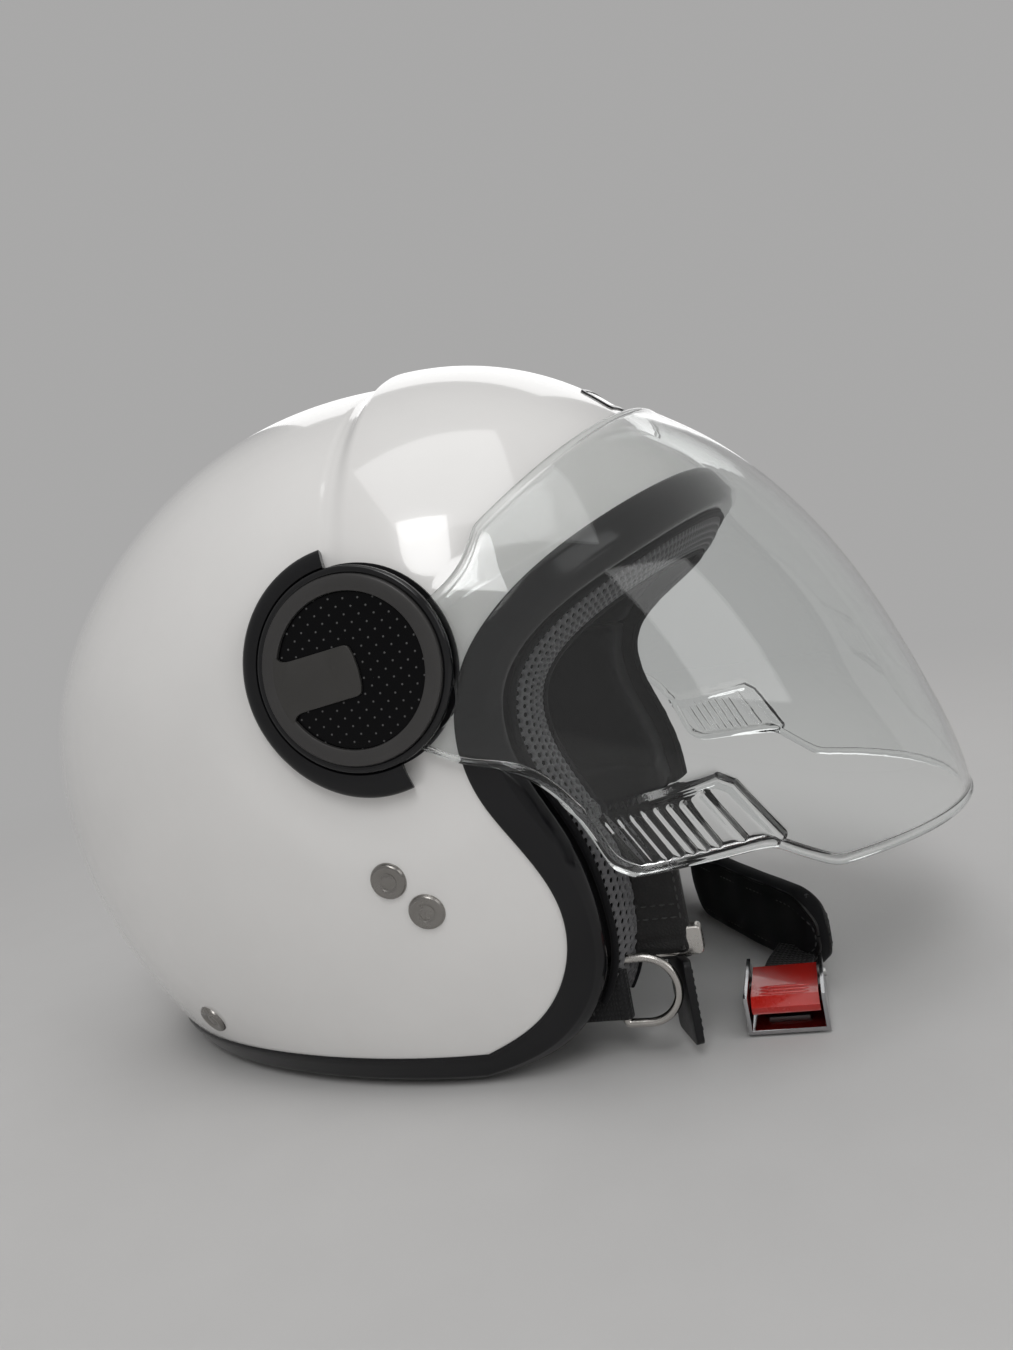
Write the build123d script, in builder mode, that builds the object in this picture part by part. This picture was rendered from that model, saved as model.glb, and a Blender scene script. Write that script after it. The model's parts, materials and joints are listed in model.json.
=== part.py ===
"""Open face motorcycle helmet: shell, liner, clear visor on side pivots, chin strap and buckle.

Millimetres. +Z is up, the face looks along -Y, the wearer's right side is -X. The origin is the middle
of the helmet's box, on the plane of its lower rim. Side outlines are written as (forward, up) pairs
measured from the visor's pivot axis.
"""

import math
import os

from build123d import *

os.makedirs("parts", exist_ok=True)

# ---- driving dimensions -------------------------------------------------------------------------

PIVOT_Y = -3.5  # visor pivot axis, behind the middle of the box
PIVOT_Z = 132.0  # visor pivot axis above the lower rim
HALF_WIDTH = 122.0  # painted shell, middle to side
SQUARENESS = 2.1  # 2 would be an ellipse in plan, more is squarer
FLAT_SHARE = 0.967  # the sides end in flat faces at this share of the half width
SHELL_WALL = 4.0
FOAM_WALL = 26.0
PAD_CLEARANCE = 0.3

# Radius of the shell's middle section about the pivot axis, by direction: 0 is forward, 90 is up.
SHELL_RADII = {
    -90: 208, -60: 187, -30: 140, 0: 114, 25: 106.5, 45: 97, 65: 94,
    90: 96, 120: 108.5, 150: 133, 180: 169, 210: 188, 240: 196,
}
CAP_RADIUS = 100.5  # raised crown band, round about the pivot axis so that the visor slides over it
CAP_FRONT = 28.0  # where the band has sunk into the painted skin in front, in degrees
CAP_STEP = -4.0  # its rear edge stands this far forward of the pivot axis

# The black edging: painted edge and free edge of the face opening, from the rim up to the brow.
PAINTED_EDGE = [
    (9, -121), (27, -111), (39.5, -93), (41.5, -76), (35, -57), (25, -34),
    (27, -10), (46, 14), (71, 30), (112, 51),
]
FREE_EDGE = [
    (5, -132), (32, -123), (49, -103), (52, -82), (48, -56), (39, -30),
    (40.5, -11), (55, 5), (78, 18), (116, 39),
]
RIM_BAND = 11.0  # height of the black band round the lower rim
TRIM_PROUD = 0.9
TRIM_DEPTH = 8.0  # inner lip, measured in from the shell's surface
TRIM_JOINT = -88.0  # height where the rim trim meets the face trim

# The visor, by direction as above. Its wall is added outside these radii.
VISOR_WALL = 2.2
VISOR_HALF_WIDTH = 123.4
VISOR_RADII = {
    -90: 196, -60: 197, -40: 195, -27: 184, -15: 161, 0: 139, 15: 123.5, 30: 111.5,
    45: 103.3, 60: 103, 90: 103, 120: 103, 150: 108, 180: 130, 210: 160, 240: 182,
}
VISOR_TOP = 40.5  # direction of the top edge, in degrees
VISOR_HUB = 26.0
VISOR_REACH = 200.0
VISOR_TOP_EDGE = [(20, 13), (28, 17.5), (33, 22), (38, 32.45)]
VISOR_LOWER_EDGE = [(12, -23), (25, -30.5), (36, -33.5), (49, -44), (55, -55), (58.5, -65)]
VISOR_TAB_EDGE = [(58.5, -65), (65, -69.5), (101, -68.5), (107, -73), (117, -79.5)]

BUSH_RADIUS = 8.0
BUSH_RUNNING_GAP = 0.05
SIDE_PLATE = 0.8
COVER_RADIUS = 28.8
RING_OUTER = 26.6
RING_INNER = 21.8
CRESCENT_OUTER = 34.5
CRESCENT_FROM = 95.0
CRESCENT_TO = 288.0

RIVETS = [(-4.5, -61.0), (4.5, -71.5)]
REAR_RIVET = (-95.0, -110.5)
RIVET_HEAD = 5.5
RIVET_SHANK = 2.4

SCREW_HOLE = 2.6

STRAP_WIDTH = 17.0
STRAP_THICK = 1.8

SIDES = {"right": -1, "left": 1}
FAR = 150.0  # beyond every surface

# ---- outlines and skins -------------------------------------------------------------------------


def side_plane(x):
    """Plane across the helmet at x, drawn in (forward, up) from the pivot axis, facing -X."""
    return Plane(origin=(x, PIVOT_Y, PIVOT_Z), x_dir=(0, -1, 0), z_dir=(-1, 0, 0))


def polar(radius, degrees):
    return (radius * math.cos(math.radians(degrees)), radius * math.sin(math.radians(degrees)))


def narrowing(x, half_width):
    """Share of a section's radius that is left at x, from 1 in the middle to 0 at the side."""
    return (1 - (abs(x) / half_width) ** SQUARENESS) ** (1 / SQUARENESS)


def egg(grow, radii=SHELL_RADII, half_width=HALF_WIDTH):
    """Solid whose section at each x is the radii's outline, with flat ends, grown by grow."""
    width = half_width + grow
    flat = FLAT_SHARE * width
    with BuildPart() as solid:
        for turn in range(-90, 91, 15):
            x = flat * math.sin(math.radians(turn))
            share = narrowing(x, width)
            outline = [polar(share * (radius + grow), angle) for angle, radius in radii.items()]
            with BuildSketch(side_plane(x)):
                with BuildLine():
                    Spline(outline, periodic=True)
                make_face()
        loft()
    return solid.part


def edge_line(share):
    """Points of the face opening's outline, from the painted edge at 0 to the free edge at 1."""
    return [
        (a[0] + share * (b[0] - a[0]), a[1] + share * (b[1] - a[1]))
        for a, b in zip(PAINTED_EDGE, FREE_EDGE)
    ]


def behind_edge(share, bottom):
    """Slab through the whole width, behind the face opening's outline and above bottom."""
    line = edge_line(share)
    start = (line[0][0] - 1, bottom)
    end = (line[-1][0] + 60, line[-1][1] + 30)
    with BuildPart() as slab:
        with BuildSketch(side_plane(FAR)):
            with BuildLine():
                curve = Spline(line)
                Polyline(curve @ 1, end, (end[0], FAR), (-220, FAR), (-220, bottom), start, curve @ 0)
            make_face()
        extrude(amount=2 * FAR)
    return slab.part


def side_slab(corners):
    """Slab through the whole width, over a polygon of (forward, up) corners."""
    with BuildPart() as slab:
        with BuildSketch(side_plane(FAR)):
            with BuildLine():
                Polyline(corners, close=True)
            make_face()
        extrude(amount=2 * FAR)
    return slab.part


def radius_towards(angle):
    """Shell radius in a direction, between the listed directions."""
    angle = (angle + 90) % 360 - 90
    stops = sorted(SHELL_RADII.items()) + [(270, SHELL_RADII[-90])]
    for (low, first), (high, second) in zip(stops, stops[1:]):
        if low <= angle <= high:
            return first + (second - first) * (angle - low) / (high - low)
    return stops[0][1]


def shell_x(forward, up):
    """Half width of the painted surface at a point of the side view."""
    radius = math.hypot(forward, up)
    share = radius / radius_towards(math.degrees(math.atan2(up, forward)))
    return HALF_WIDTH * (1 - share ** SQUARENESS) ** (1 / SQUARENESS)


def surface_plane(forward, up, side):
    """Plane that touches the painted surface, facing out of it."""
    step = 0.5
    x = shell_x(forward, up)
    slope_forward = (shell_x(forward + step, up) - shell_x(forward - step, up)) / (2 * step)
    slope_up = (shell_x(forward, up + step) - shell_x(forward, up - step)) / (2 * step)
    outward = Vector(side, slope_forward, -slope_up)
    return Plane(origin=(side * x, PIVOT_Y - forward, PIVOT_Z + up), x_dir=(0, 0, 1), z_dir=outward)


def outwards(side, distance):
    """Extrusion amount on a side plane that leads away from the middle of the helmet."""
    return -side * distance


def finish(block, name):
    """Label a finished sub-part and write it as the node of that name."""
    block.part.label = name
    export_step(block.part, f"parts/{name}.step")


outer_skin = egg(0)
wall_skin = egg(-SHELL_WALL)
trim_skin = egg(TRIM_PROUD)
trim_inside = egg(-TRIM_DEPTH)
foam_skin = egg(-SHELL_WALL - PAD_CLEARANCE)
foam_inside = egg(-SHELL_WALL - FOAM_WALL)
SIDE_FLAT = FLAT_SHARE * HALF_WIDTH

# ---- painted shell ------------------------------------------------------------------------------

cap_radii = {angle: CAP_RADIUS for angle in range(-90, 270, 30)}
cap_front = polar(FAR, CAP_FRONT)
cap_sector = side_slab([(CAP_STEP, 0), (CAP_STEP, FAR), (cap_front[0], FAR), cap_front, (0, 0)])
cap_solid = egg(0, cap_radii)
cap_skin = cap_solid & cap_sector

with BuildPart() as outer_shell:
    add(outer_skin)
    add(cap_skin)
    add(behind_edge(0.5, -PIVOT_Z + RIM_BAND / 2), mode=Mode.INTERSECT)
    add(wall_skin, mode=Mode.SUBTRACT)
    for side in SIDES.values():
        with BuildSketch(side_plane(side * SIDE_FLAT)):
            Circle(SCREW_HOLE)
        extrude(amount=20, both=True, mode=Mode.SUBTRACT)
        for forward, up in RIVETS + [REAR_RIVET]:
            with BuildSketch(surface_plane(forward, up, side)):
                Circle(RIVET_SHANK)
            extrude(amount=9, both=True, mode=Mode.SUBTRACT)
finish(outer_shell, "outer_shell")

# ---- black edging -------------------------------------------------------------------------------

band = (trim_skin & side_slab([(-FAR * 2, -PIVOT_Z), (-FAR * 2, FAR), (FAR, FAR), (FAR, -PIVOT_Z)]))
band = band & behind_edge(1.0, -PIVOT_Z)
band = band - trim_inside - behind_edge(0.0, -PIVOT_Z + RIM_BAND) - outer_shell.part

with BuildPart() as eyeport_trim:
    add(band)
    add(side_slab([(-20, TRIM_JOINT), (-20, FAR), (FAR, FAR), (FAR, TRIM_JOINT)]), mode=Mode.INTERSECT)
finish(eyeport_trim, "eyeport_trim")

with BuildPart() as base_trim:
    add(band)
    add(side_slab([(-20, TRIM_JOINT), (-20, FAR), (FAR, FAR), (FAR, TRIM_JOINT)]), mode=Mode.SUBTRACT)
finish(base_trim, "base_trim")

# ---- strap legs and the channels they run in ----------------------------------------------------

PLATE_X = 107.4  # anchor plates, flat against the foam side of the shell
LEG_TOP = (PLATE_X - 2.0, -58.0)
LEG_FOOT = (89.5, -118.0)


def strap_leg(side, thick, width):
    """Straight ribbon from the anchor plate down to the rim."""
    run = Vector(LEG_FOOT[0] - LEG_TOP[0], 0, LEG_FOOT[1] - LEG_TOP[1])
    middle = Vector((LEG_FOOT[0] + LEG_TOP[0]) / 2, PIVOT_Y, PIVOT_Z + (LEG_FOOT[1] + LEG_TOP[1]) / 2)
    place = Plane(
        origin=(side * middle.X, middle.Y, middle.Z),
        x_dir=(0, 1, 0),
        z_dir=(side * run.X, 0, run.Z),
    )
    with BuildPart() as leg:
        with BuildSketch(place):
            Rectangle(width, thick)
        extrude(amount=run.length / 2, both=True)
    return leg.part


def block(x_range, y_range, z_range):
    """Box between two values of each coordinate."""
    size = [high - low for low, high in (x_range, y_range, z_range)]
    middle = [(high + low) / 2 for low, high in (x_range, y_range, z_range)]
    return Pos(*middle) * Box(*size)


def mirrored(side, x_range):
    """The x range as given on the left side, or turned over for the right side."""
    return x_range if side > 0 else (-x_range[1], -x_range[0])


sleeve_slot = block((-87, -77), (-70, -28), (52, 75))
pocket_room = [sleeve_slot]
for side in SIDES.values():
    pocket_room.append(strap_leg(side, STRAP_THICK + 0.8, STRAP_WIDTH + 1.2))
    pocket_room.append(block(mirrored(side, (94, 116)), (PIVOT_Y - 19, PIVOT_Y + 19), (48, 84)))
    pocket_room.append(block(mirrored(side, (84.5, 91.5)), (-60, 9), (0, 33)))
    pocket_room.append(
        Pos(side * 108, PIVOT_Y, PIVOT_Z) * Rot(0, 90, 0) * Cylinder(9, 24)
    )
    rear = surface_plane(*REAR_RIVET, side)
    pocket_room.append(rear * Pos(0, 0, -8) * Cylinder(6, 14))

# ---- energy absorbing liner ---------------------------------------------------------------------

with BuildPart() as eps_liner:
    add(foam_skin)
    add(behind_edge(-0.03, -PIVOT_Z + RIM_BAND + 1), mode=Mode.INTERSECT)
    add(foam_inside, mode=Mode.SUBTRACT)
    add(side_slab([(-FAR * 2, -FAR), (-FAR * 2, -96), (-36, -96), (-36, -FAR)]), mode=Mode.SUBTRACT)
    for room in pocket_room:
        add(room, mode=Mode.SUBTRACT)
finish(eps_liner, "eps_liner")

# ---- comfort liner ------------------------------------------------------------------------------

pad_skin = egg(-TRIM_DEPTH - PAD_CLEARANCE)
lining_skin = egg(-SHELL_WALL - FOAM_WALL - PAD_CLEARANCE)
lining_inside = egg(-SHELL_WALL - FOAM_WALL - 7)
cheek_inside = egg(-SHELL_WALL - FOAM_WALL - 16)
foam_room = foam_skin & behind_edge(0.01, -PIVOT_Z + RIM_BAND + 0.6)
foam_room = foam_room - lining_skin

crown_slab = side_slab([(-FAR * 2, -35), (-FAR * 2, FAR), (62, FAR), (62, 36), (22, -5), (-6, -20)])
brow_slab = side_slab([(22.5, -5.3), (62.5, 35.6), (62.5, FAR), (FAR, FAR), (FAR, -5.3)])
neck_slab = side_slab([(-FAR * 2, -122), (-FAR * 2, -96.4), (-36.4, -96.4), (-36.4, -122)])
cheek_slab = side_slab([(-36, -121), (-36, -22.6), (-6, -20.5), (22, -5.8), (FAR, -5.8), (FAR, -121)])

with BuildPart() as crown_pad:
    add(lining_skin)
    add(crown_slab, mode=Mode.INTERSECT)
    add(lining_inside, mode=Mode.SUBTRACT)
finish(crown_pad, "crown_pad")

with BuildPart() as brow_pad:
    add(pad_skin)
    add(behind_edge(0.9, -PIVOT_Z), mode=Mode.INTERSECT)
    add(brow_slab, mode=Mode.INTERSECT)
    add(lining_inside, mode=Mode.SUBTRACT)
    add(foam_room, mode=Mode.SUBTRACT)
finish(brow_pad, "brow_pad")

with BuildPart() as neck_roll:
    add(pad_skin)
    add(neck_slab, mode=Mode.INTERSECT)
    add(lining_inside, mode=Mode.SUBTRACT)
    for room in pocket_room:
        add(room, mode=Mode.SUBTRACT)
finish(neck_roll, "neck_roll")

for name, side in SIDES.items():
    half = block(mirrored(side, (0, FAR)), (-FAR * 2, FAR * 2), (-FAR, 2 * FAR))
    with BuildPart() as cheek_pad:
        add(pad_skin)
        add(behind_edge(0.9, -PIVOT_Z), mode=Mode.INTERSECT)
        add(cheek_slab, mode=Mode.INTERSECT)
        add(half, mode=Mode.INTERSECT)
        add(cheek_inside, mode=Mode.SUBTRACT)
        add(foam_room, mode=Mode.SUBTRACT)
        for room in pocket_room:
            add(room, mode=Mode.SUBTRACT)
    finish(cheek_pad, f"cheek_pad_{name}")

# ---- visor --------------------------------------------------------------------------------------


def visor_outline():
    """Slab over the visor's side view, from the hub to past its tip."""
    top = polar(VISOR_REACH, VISOR_TOP)
    with BuildPart() as slab:
        with BuildSketch(side_plane(FAR)):
            with BuildLine():
                Spline(VISOR_TOP_EDGE)
                Polyline(VISOR_TOP_EDGE[-1], top, (VISOR_REACH, VISOR_TAB_EDGE[-1][1]), VISOR_TAB_EDGE[-1])
                Polyline(VISOR_TAB_EDGE)
                Spline(VISOR_LOWER_EDGE)
                Line(VISOR_TOP_EDGE[0], VISOR_LOWER_EDGE[0])
            make_face()
            Circle(VISOR_HUB)
        extrude(amount=2 * FAR)
    return slab.part


visor_inside = egg(0, VISOR_RADII, VISOR_HALF_WIDTH)
visor_outside = egg(VISOR_WALL, VISOR_RADII, VISOR_HALF_WIDTH)
visor_slab = visor_outline()
with BuildPart() as visor:
    add(visor_outside)
    add(visor_slab, mode=Mode.INTERSECT)
    add(visor_inside, mode=Mode.SUBTRACT)
    with BuildSketch(side_plane(FAR)):
        Circle(BUSH_RADIUS + BUSH_RUNNING_GAP)
    extrude(amount=2 * FAR, mode=Mode.SUBTRACT)
finish(visor, "visor")

# ---- side mechanisms ----------------------------------------------------------------------------

ARM_OUTSIDE = FLAT_SHARE * (VISOR_HALF_WIDTH + VISOR_WALL)
COVER_AT = ARM_OUTSIDE + 0.3
COVER_THICK = 2.4
RECESS_AT = COVER_AT + COVER_THICK - 0.8
RING_THICK = 2.2
PANEL_THICK = 1.2
PLATE_THICK = 0.9
BUSH_END = ARM_OUTSIDE + 0.2
SCREW_SEAT = ARM_OUTSIDE - 1.2
CLIP_CIRCLE = 6.4
CLIP_RADIUS = 0.9
CRESCENT_INNER = COVER_RADIUS + 0.3
CRESCENT_ROOT = 106.0


def side_disc(side, x_from, thick, outer, inner=0.0):
    """Disc, or ring, across the pivot axis, its inner face at x_from."""
    with BuildPart() as disc:
        with BuildSketch(side_plane(side * x_from)):
            Circle(outer)
            if inner:
                Circle(inner, mode=Mode.SUBTRACT)
        extrude(amount=outwards(side, thick))
    return disc.part


def clips(side, radius, x_from, length):
    """Three pins round the pivot axis that hold the cover on the bush."""
    with BuildPart() as pins:
        with BuildSketch(side_plane(side * x_from)):
            with PolarLocations(CLIP_CIRCLE, 3):
                Circle(radius)
        extrude(amount=outwards(side, length))
    return pins.part


def rear_arc(side, x_from, thick, outer, inner):
    """Arc round the back of the visor's hub, whose ends stop the visor."""
    turn = CRESCENT_TO - CRESCENT_FROM
    with BuildPart() as arc:
        with BuildSketch(side_plane(side * x_from)):
            with BuildLine():
                outside = CenterArc((0, 0), outer, CRESCENT_FROM, turn)
                inside = CenterArc((0, 0), inner, CRESCENT_FROM, turn)
                Line(outside @ 0, inside @ 0)
                Line(outside @ 1, inside @ 1)
            make_face()
        extrude(amount=outwards(side, thick))
    return arc.part


for name, side in SIDES.items():
    base_plate = side_disc(side, SIDE_FLAT, SIDE_PLATE, VISOR_HUB, SCREW_HOLE)
    plate_rim = rear_arc(side, SIDE_FLAT, SIDE_PLATE, CRESCENT_INNER + 1, VISOR_HUB - 1)
    bush = side_disc(side, SIDE_FLAT, BUSH_END - SIDE_FLAT, BUSH_RADIUS, SCREW_HOLE)
    screw_seat = side_disc(side, SCREW_SEAT, 3, 5.0)
    clip_holes = clips(side, CLIP_RADIUS, COVER_AT - 2.4, 2.4)
    arc_height = COVER_AT + COVER_THICK - 0.6 - CRESCENT_ROOT
    raised_arc = rear_arc(side, CRESCENT_ROOT, arc_height, CRESCENT_OUTER, CRESCENT_INNER)
    raised_arc = raised_arc - outer_skin - cap_skin
    with BuildPart() as pivot_base:
        add(base_plate)
        add(bush)
        add(plate_rim)
        add(raised_arc)
        add(screw_seat, mode=Mode.SUBTRACT)
        add(clip_holes, mode=Mode.SUBTRACT)
    finish(pivot_base, f"pivot_base_{name}")

    cover_disc = side_disc(side, COVER_AT, COVER_THICK, COVER_RADIUS)
    recess = side_disc(side, RECESS_AT, 2, RING_OUTER)
    with BuildPart() as cover_base:
        add(cover_disc)
        chamfer(cover_base.edges().filter_by(GeomType.CIRCLE), 0.35)
        add(recess, mode=Mode.SUBTRACT)
        add(clip_holes)
    finish(cover_base, f"cover_base_{name}")

    ring = side_disc(side, RECESS_AT, RING_THICK, RING_OUTER, RING_INNER)
    with BuildPart() as cover_ring:
        add(ring)
        outer_face = cover_ring.faces().sort_by(Axis.X)[-1 if side > 0 else 0]
        chamfer(outer_face.edges(), 0.5)
    finish(cover_ring, f"cover_ring_{name}")

    panel = side_disc(side, RECESS_AT, PANEL_THICK, RING_INNER)
    with BuildPart() as cover_panel:
        add(panel)
    finish(cover_panel, f"cover_panel_{name}")

    with BuildPart() as name_plate:
        with BuildSketch(side_plane(side * (RECESS_AT + PANEL_THICK))):
            with Locations((-9, 0)):
                RectangleRounded(26, 14, 3)
            Circle(RING_INNER - 0.1, mode=Mode.INTERSECT)
        extrude(amount=outwards(side, PLATE_THICK))
    finish(name_plate, f"name_plate_{name}")

SCREW_RADIUS = 2.5
NUT_AT = 108.6
NUT_THICK = 4.6
screws = []
for side in SIDES.values():
    shank = side_disc(side, NUT_AT - 1, SCREW_SEAT - NUT_AT + 1, SCREW_RADIUS)
    screws.append((shank, side_disc(side, SCREW_SEAT, 1.3, 4.7), side_disc(side, SCREW_SEAT + 0.5, 2, 1.6)))
with BuildPart() as pivot_screws:
    for shank, head, socket in screws:
        add(shank)
        add(head)
        add(socket, mode=Mode.SUBTRACT)
finish(pivot_screws, "pivot_screws")

with BuildPart() as pivot_nuts:
    for side in SIDES.values():
        with BuildSketch(side_plane(side * NUT_AT)):
            RegularPolygon(6.2, 6)
            Circle(SCREW_RADIUS, mode=Mode.SUBTRACT)
        extrude(amount=outwards(side, NUT_THICK))
finish(pivot_nuts, "pivot_nuts")

# ---- rivets and anchor plates -------------------------------------------------------------------

HEAD_HEIGHT = 1.6


def rivet_head(forward, up, side):
    """Low domed head that sits on the painted surface."""
    place = surface_plane(forward, up, side)
    with BuildPart() as head:
        with BuildSketch(place.offset(-1)):
            Circle(RIVET_HEAD)
        extrude(amount=HEAD_HEIGHT + 1)
        outermost = head.faces().sort_by(Axis((0, 0, 0), place.z_dir))[-1]
        fillet(outermost.edges(), 0.9)
    return head.part - outer_skin


def rivet_shank(forward, up, side, length):
    """Shank through the shell, with the upset tail at its inner end."""
    place = surface_plane(forward, up, side)
    with BuildPart() as shank:
        with BuildSketch(place.offset(HEAD_HEIGHT / 2)):
            Circle(RIVET_SHANK)
        extrude(amount=-length - HEAD_HEIGHT / 2)
        with BuildSketch(place.offset(-length)):
            Circle(RIVET_SHANK + 1.6)
        extrude(amount=1.2)
    return shank.part


def rivet(forward, up, side, length):
    return rivet_head(forward, up, side) + rivet_shank(forward, up, side, length)


strap_rivet_set = [
    rivet(forward, up, side, length)
    for side in SIDES.values()
    for (forward, up), length in zip(RIVETS, (16.5, 18.5))
]
rear_rivet_set = [rivet(*REAR_RIVET, side, 8.0) for side in SIDES.values()]

with BuildPart() as strap_rivets:
    for piece in strap_rivet_set:
        add(piece)
finish(strap_rivets, "strap_rivets")

with BuildPart() as rear_rivets:
    for piece in rear_rivet_set:
        add(piece)
finish(rear_rivets, "rear_rivets")

plate_blocks = [
    block(mirrored(side, (PLATE_X - 0.75, PLATE_X + 0.75)), (PIVOT_Y - 11, PIVOT_Y + 11), (50, 80))
    for side in SIDES.values()
]
with BuildPart() as anchor_plates:
    for plate in plate_blocks:
        add(plate)
    for piece in strap_rivet_set:
        add(piece, mode=Mode.SUBTRACT)
finish(anchor_plates, "anchor_plates")

# ---- right strap, lock ring, slide and toothed tongue -------------------------------------------

RUN_X = 88.9  # the lower run of each strap, on edge, inside the rim
RUN_LOW, RUN_HIGH = 13.5, 30.5
RING_WIRE = 1.3
RING_BAR = 50.0
RING_MIDDLE = (RUN_LOW + RUN_HIGH) / 2 - PIVOT_Z
HANG_X = -82.0  # the hanging end, facing sideways


def side_plate(x, thick, outline):
    """Plate of constant thickness, centred on x, over an outline of (y, z) corners."""
    with BuildPart() as plate:
        with BuildSketch(Plane.YZ.offset(x - thick / 2)):
            with BuildLine():
                Polyline(outline, close=True)
            make_face()
        extrude(amount=thick)
    return plate.part


def strap_run(side, y_front):
    """Lower stretch of a strap, on edge along the inside of the rim."""
    low, high = RUN_X - STRAP_THICK / 2, RUN_X + STRAP_THICK / 2
    return block(mirrored(side, (low, high)), (y_front, PIVOT_Y + 8.5), (RUN_LOW, RUN_HIGH))


ring_corner = (-RUN_X, PIVOT_Y - RING_BAR, PIVOT_Z + RING_MIDDLE)
ring_loop = Pos(*ring_corner) * Cylinder(2.9, RUN_HIGH - RUN_LOW)
ring_bore = Pos(*ring_corner) * Cylinder(RING_WIRE + 0.05, 40)
right_leg = strap_leg(-1, STRAP_THICK, STRAP_WIDTH)
right_run = strap_run(-1, ring_corner[1])
hanging_end = side_plate(
    HANG_X, STRAP_THICK, [(-32, 71), (-32, 55), (-58, 55), (-58, 32), (-75, 32), (-75, 60), (-66, 71)]
)
with BuildPart() as right_strap:
    add(right_leg)
    add(right_run)
    add(ring_loop)
    add(ring_bore, mode=Mode.SUBTRACT)
    add(hanging_end)
    for piece in strap_rivet_set:
        add(piece, mode=Mode.SUBTRACT)
finish(right_strap, "right_strap")

sleeve_outline = side_plate(HANG_X, 6, [(-56.5, 39), (-56.5, 70), (-66, 73), (-76.5, 62), (-76.5, 39)])
with BuildPart() as strap_sleeve:
    add(sleeve_outline)
    fillet(strap_sleeve.edges().filter_by(Axis.X), 2.5)
    add(right_strap.part, mode=Mode.SUBTRACT)
finish(strap_sleeve, "strap_sleeve")

slide_frame = block((HANG_X - 2.6, HANG_X + 2.6), (-77.5, -55.5), (30, 38))
with BuildPart() as strap_slide:
    add(slide_frame)
    fillet(strap_slide.edges().filter_by(Axis.X), 1.5)
    add(right_strap.part, mode=Mode.SUBTRACT)
finish(strap_slide, "strap_slide")

TONGUE_TOP, TONGUE_LENGTH, TONGUE_WIDTH = 29.8, 25.5, 17.0
TOOTH_PITCH, TOOTH_DEPTH = 2.5, 0.9
tongue_plane = Plane(origin=(HANG_X + 2, -70.5, TONGUE_TOP), x_dir=(0.5, 0.87, 0), z_dir=(0.87, -0.5, 0))
with BuildPart() as toothed_tongue:
    with BuildSketch(tongue_plane):
        with Locations((0, -TONGUE_LENGTH / 2)):
            RectangleRounded(TONGUE_WIDTH, TONGUE_LENGTH, 2)
    extrude(amount=1.2, both=True)
    with BuildSketch(tongue_plane.offset(1.2)):
        for tooth in range(8):
            with Locations((0, -4 - tooth * TOOTH_PITCH)):
                Rectangle(TONGUE_WIDTH - 5, TOOTH_PITCH / 2)
    extrude(amount=TOOTH_DEPTH)
finish(toothed_tongue, "toothed_tongue")

RING_HALF = 10.0
ring_shoulder = (RING_BAR + 7, RING_MIDDLE + RING_HALF)
with BuildPart() as lock_ring:
    with BuildLine(side_plane(-RUN_X)) as half_ring:
        bar_top = (RING_BAR, RING_MIDDLE + RING_HALF)
        FilletPolyline((RING_BAR, RING_MIDDLE), bar_top, ring_shoulder, radius=1.4)
        CenterArc((ring_shoulder[0], RING_MIDDLE), RING_HALF, 90, -90)
    with BuildSketch(Plane(origin=ring_corner, z_dir=(0, 0, 1))):
        Circle(RING_WIRE)
    sweep(path=half_ring.wire())
    mirror(about=Plane.XY.offset(PIVOT_Z + RING_MIDDLE))
finish(lock_ring, "lock_ring")

# ---- left strap and chin pad --------------------------------------------------------------------

PAD_THICK = 9.0
PAD_LOW, PAD_HIGH = 1.5, 29.0
left_route = [(RUN_X, PIVOT_Y - 20), (RUN_X, -50), (68, -63), (35, -69), (0, -89), (-34, -110)]
pad_route = [(60, -64.5), (35, -69), (0, -89), (-38, -112.5)]


def upright_band(route, thick, low, high):
    """Band that stands on edge along a route of (x, y) points."""
    with BuildPart() as upright:
        with BuildSketch(Plane.XY.offset(low)):
            with BuildLine():
                FilletPolyline(*route, radius=12)
            trace(line_width=thick)
        extrude(amount=high - low)
    return upright.part


left_leg = strap_leg(1, STRAP_THICK, STRAP_WIDTH)
left_run = strap_run(1, PIVOT_Y - 20)
left_band = upright_band(left_route, STRAP_THICK, RUN_LOW, RUN_HIGH - 4)
with BuildPart() as left_strap:
    add(left_leg)
    add(left_run)
    add(left_band)
    for piece in strap_rivet_set:
        add(piece, mode=Mode.SUBTRACT)
finish(left_strap, "left_strap")

pad_band = upright_band(pad_route, PAD_THICK, PAD_LOW, PAD_HIGH)
with BuildPart() as chin_pad:
    add(pad_band)
    add(left_strap.part, mode=Mode.SUBTRACT)
finish(chin_pad, "chin_pad")

# ---- buckle -------------------------------------------------------------------------------------

BUCKLE_X = (-78.0, -46.0)
BUCKLE_Y = (-111.0, -87.0)
BUCKLE_TOP = 12.5
BUCKLE_WALL = 1.2
PIN_X, PIN_Z, PIN_RADIUS = -50.5, 8.0, 1.5
LEVER_GAP = 0.8

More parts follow.
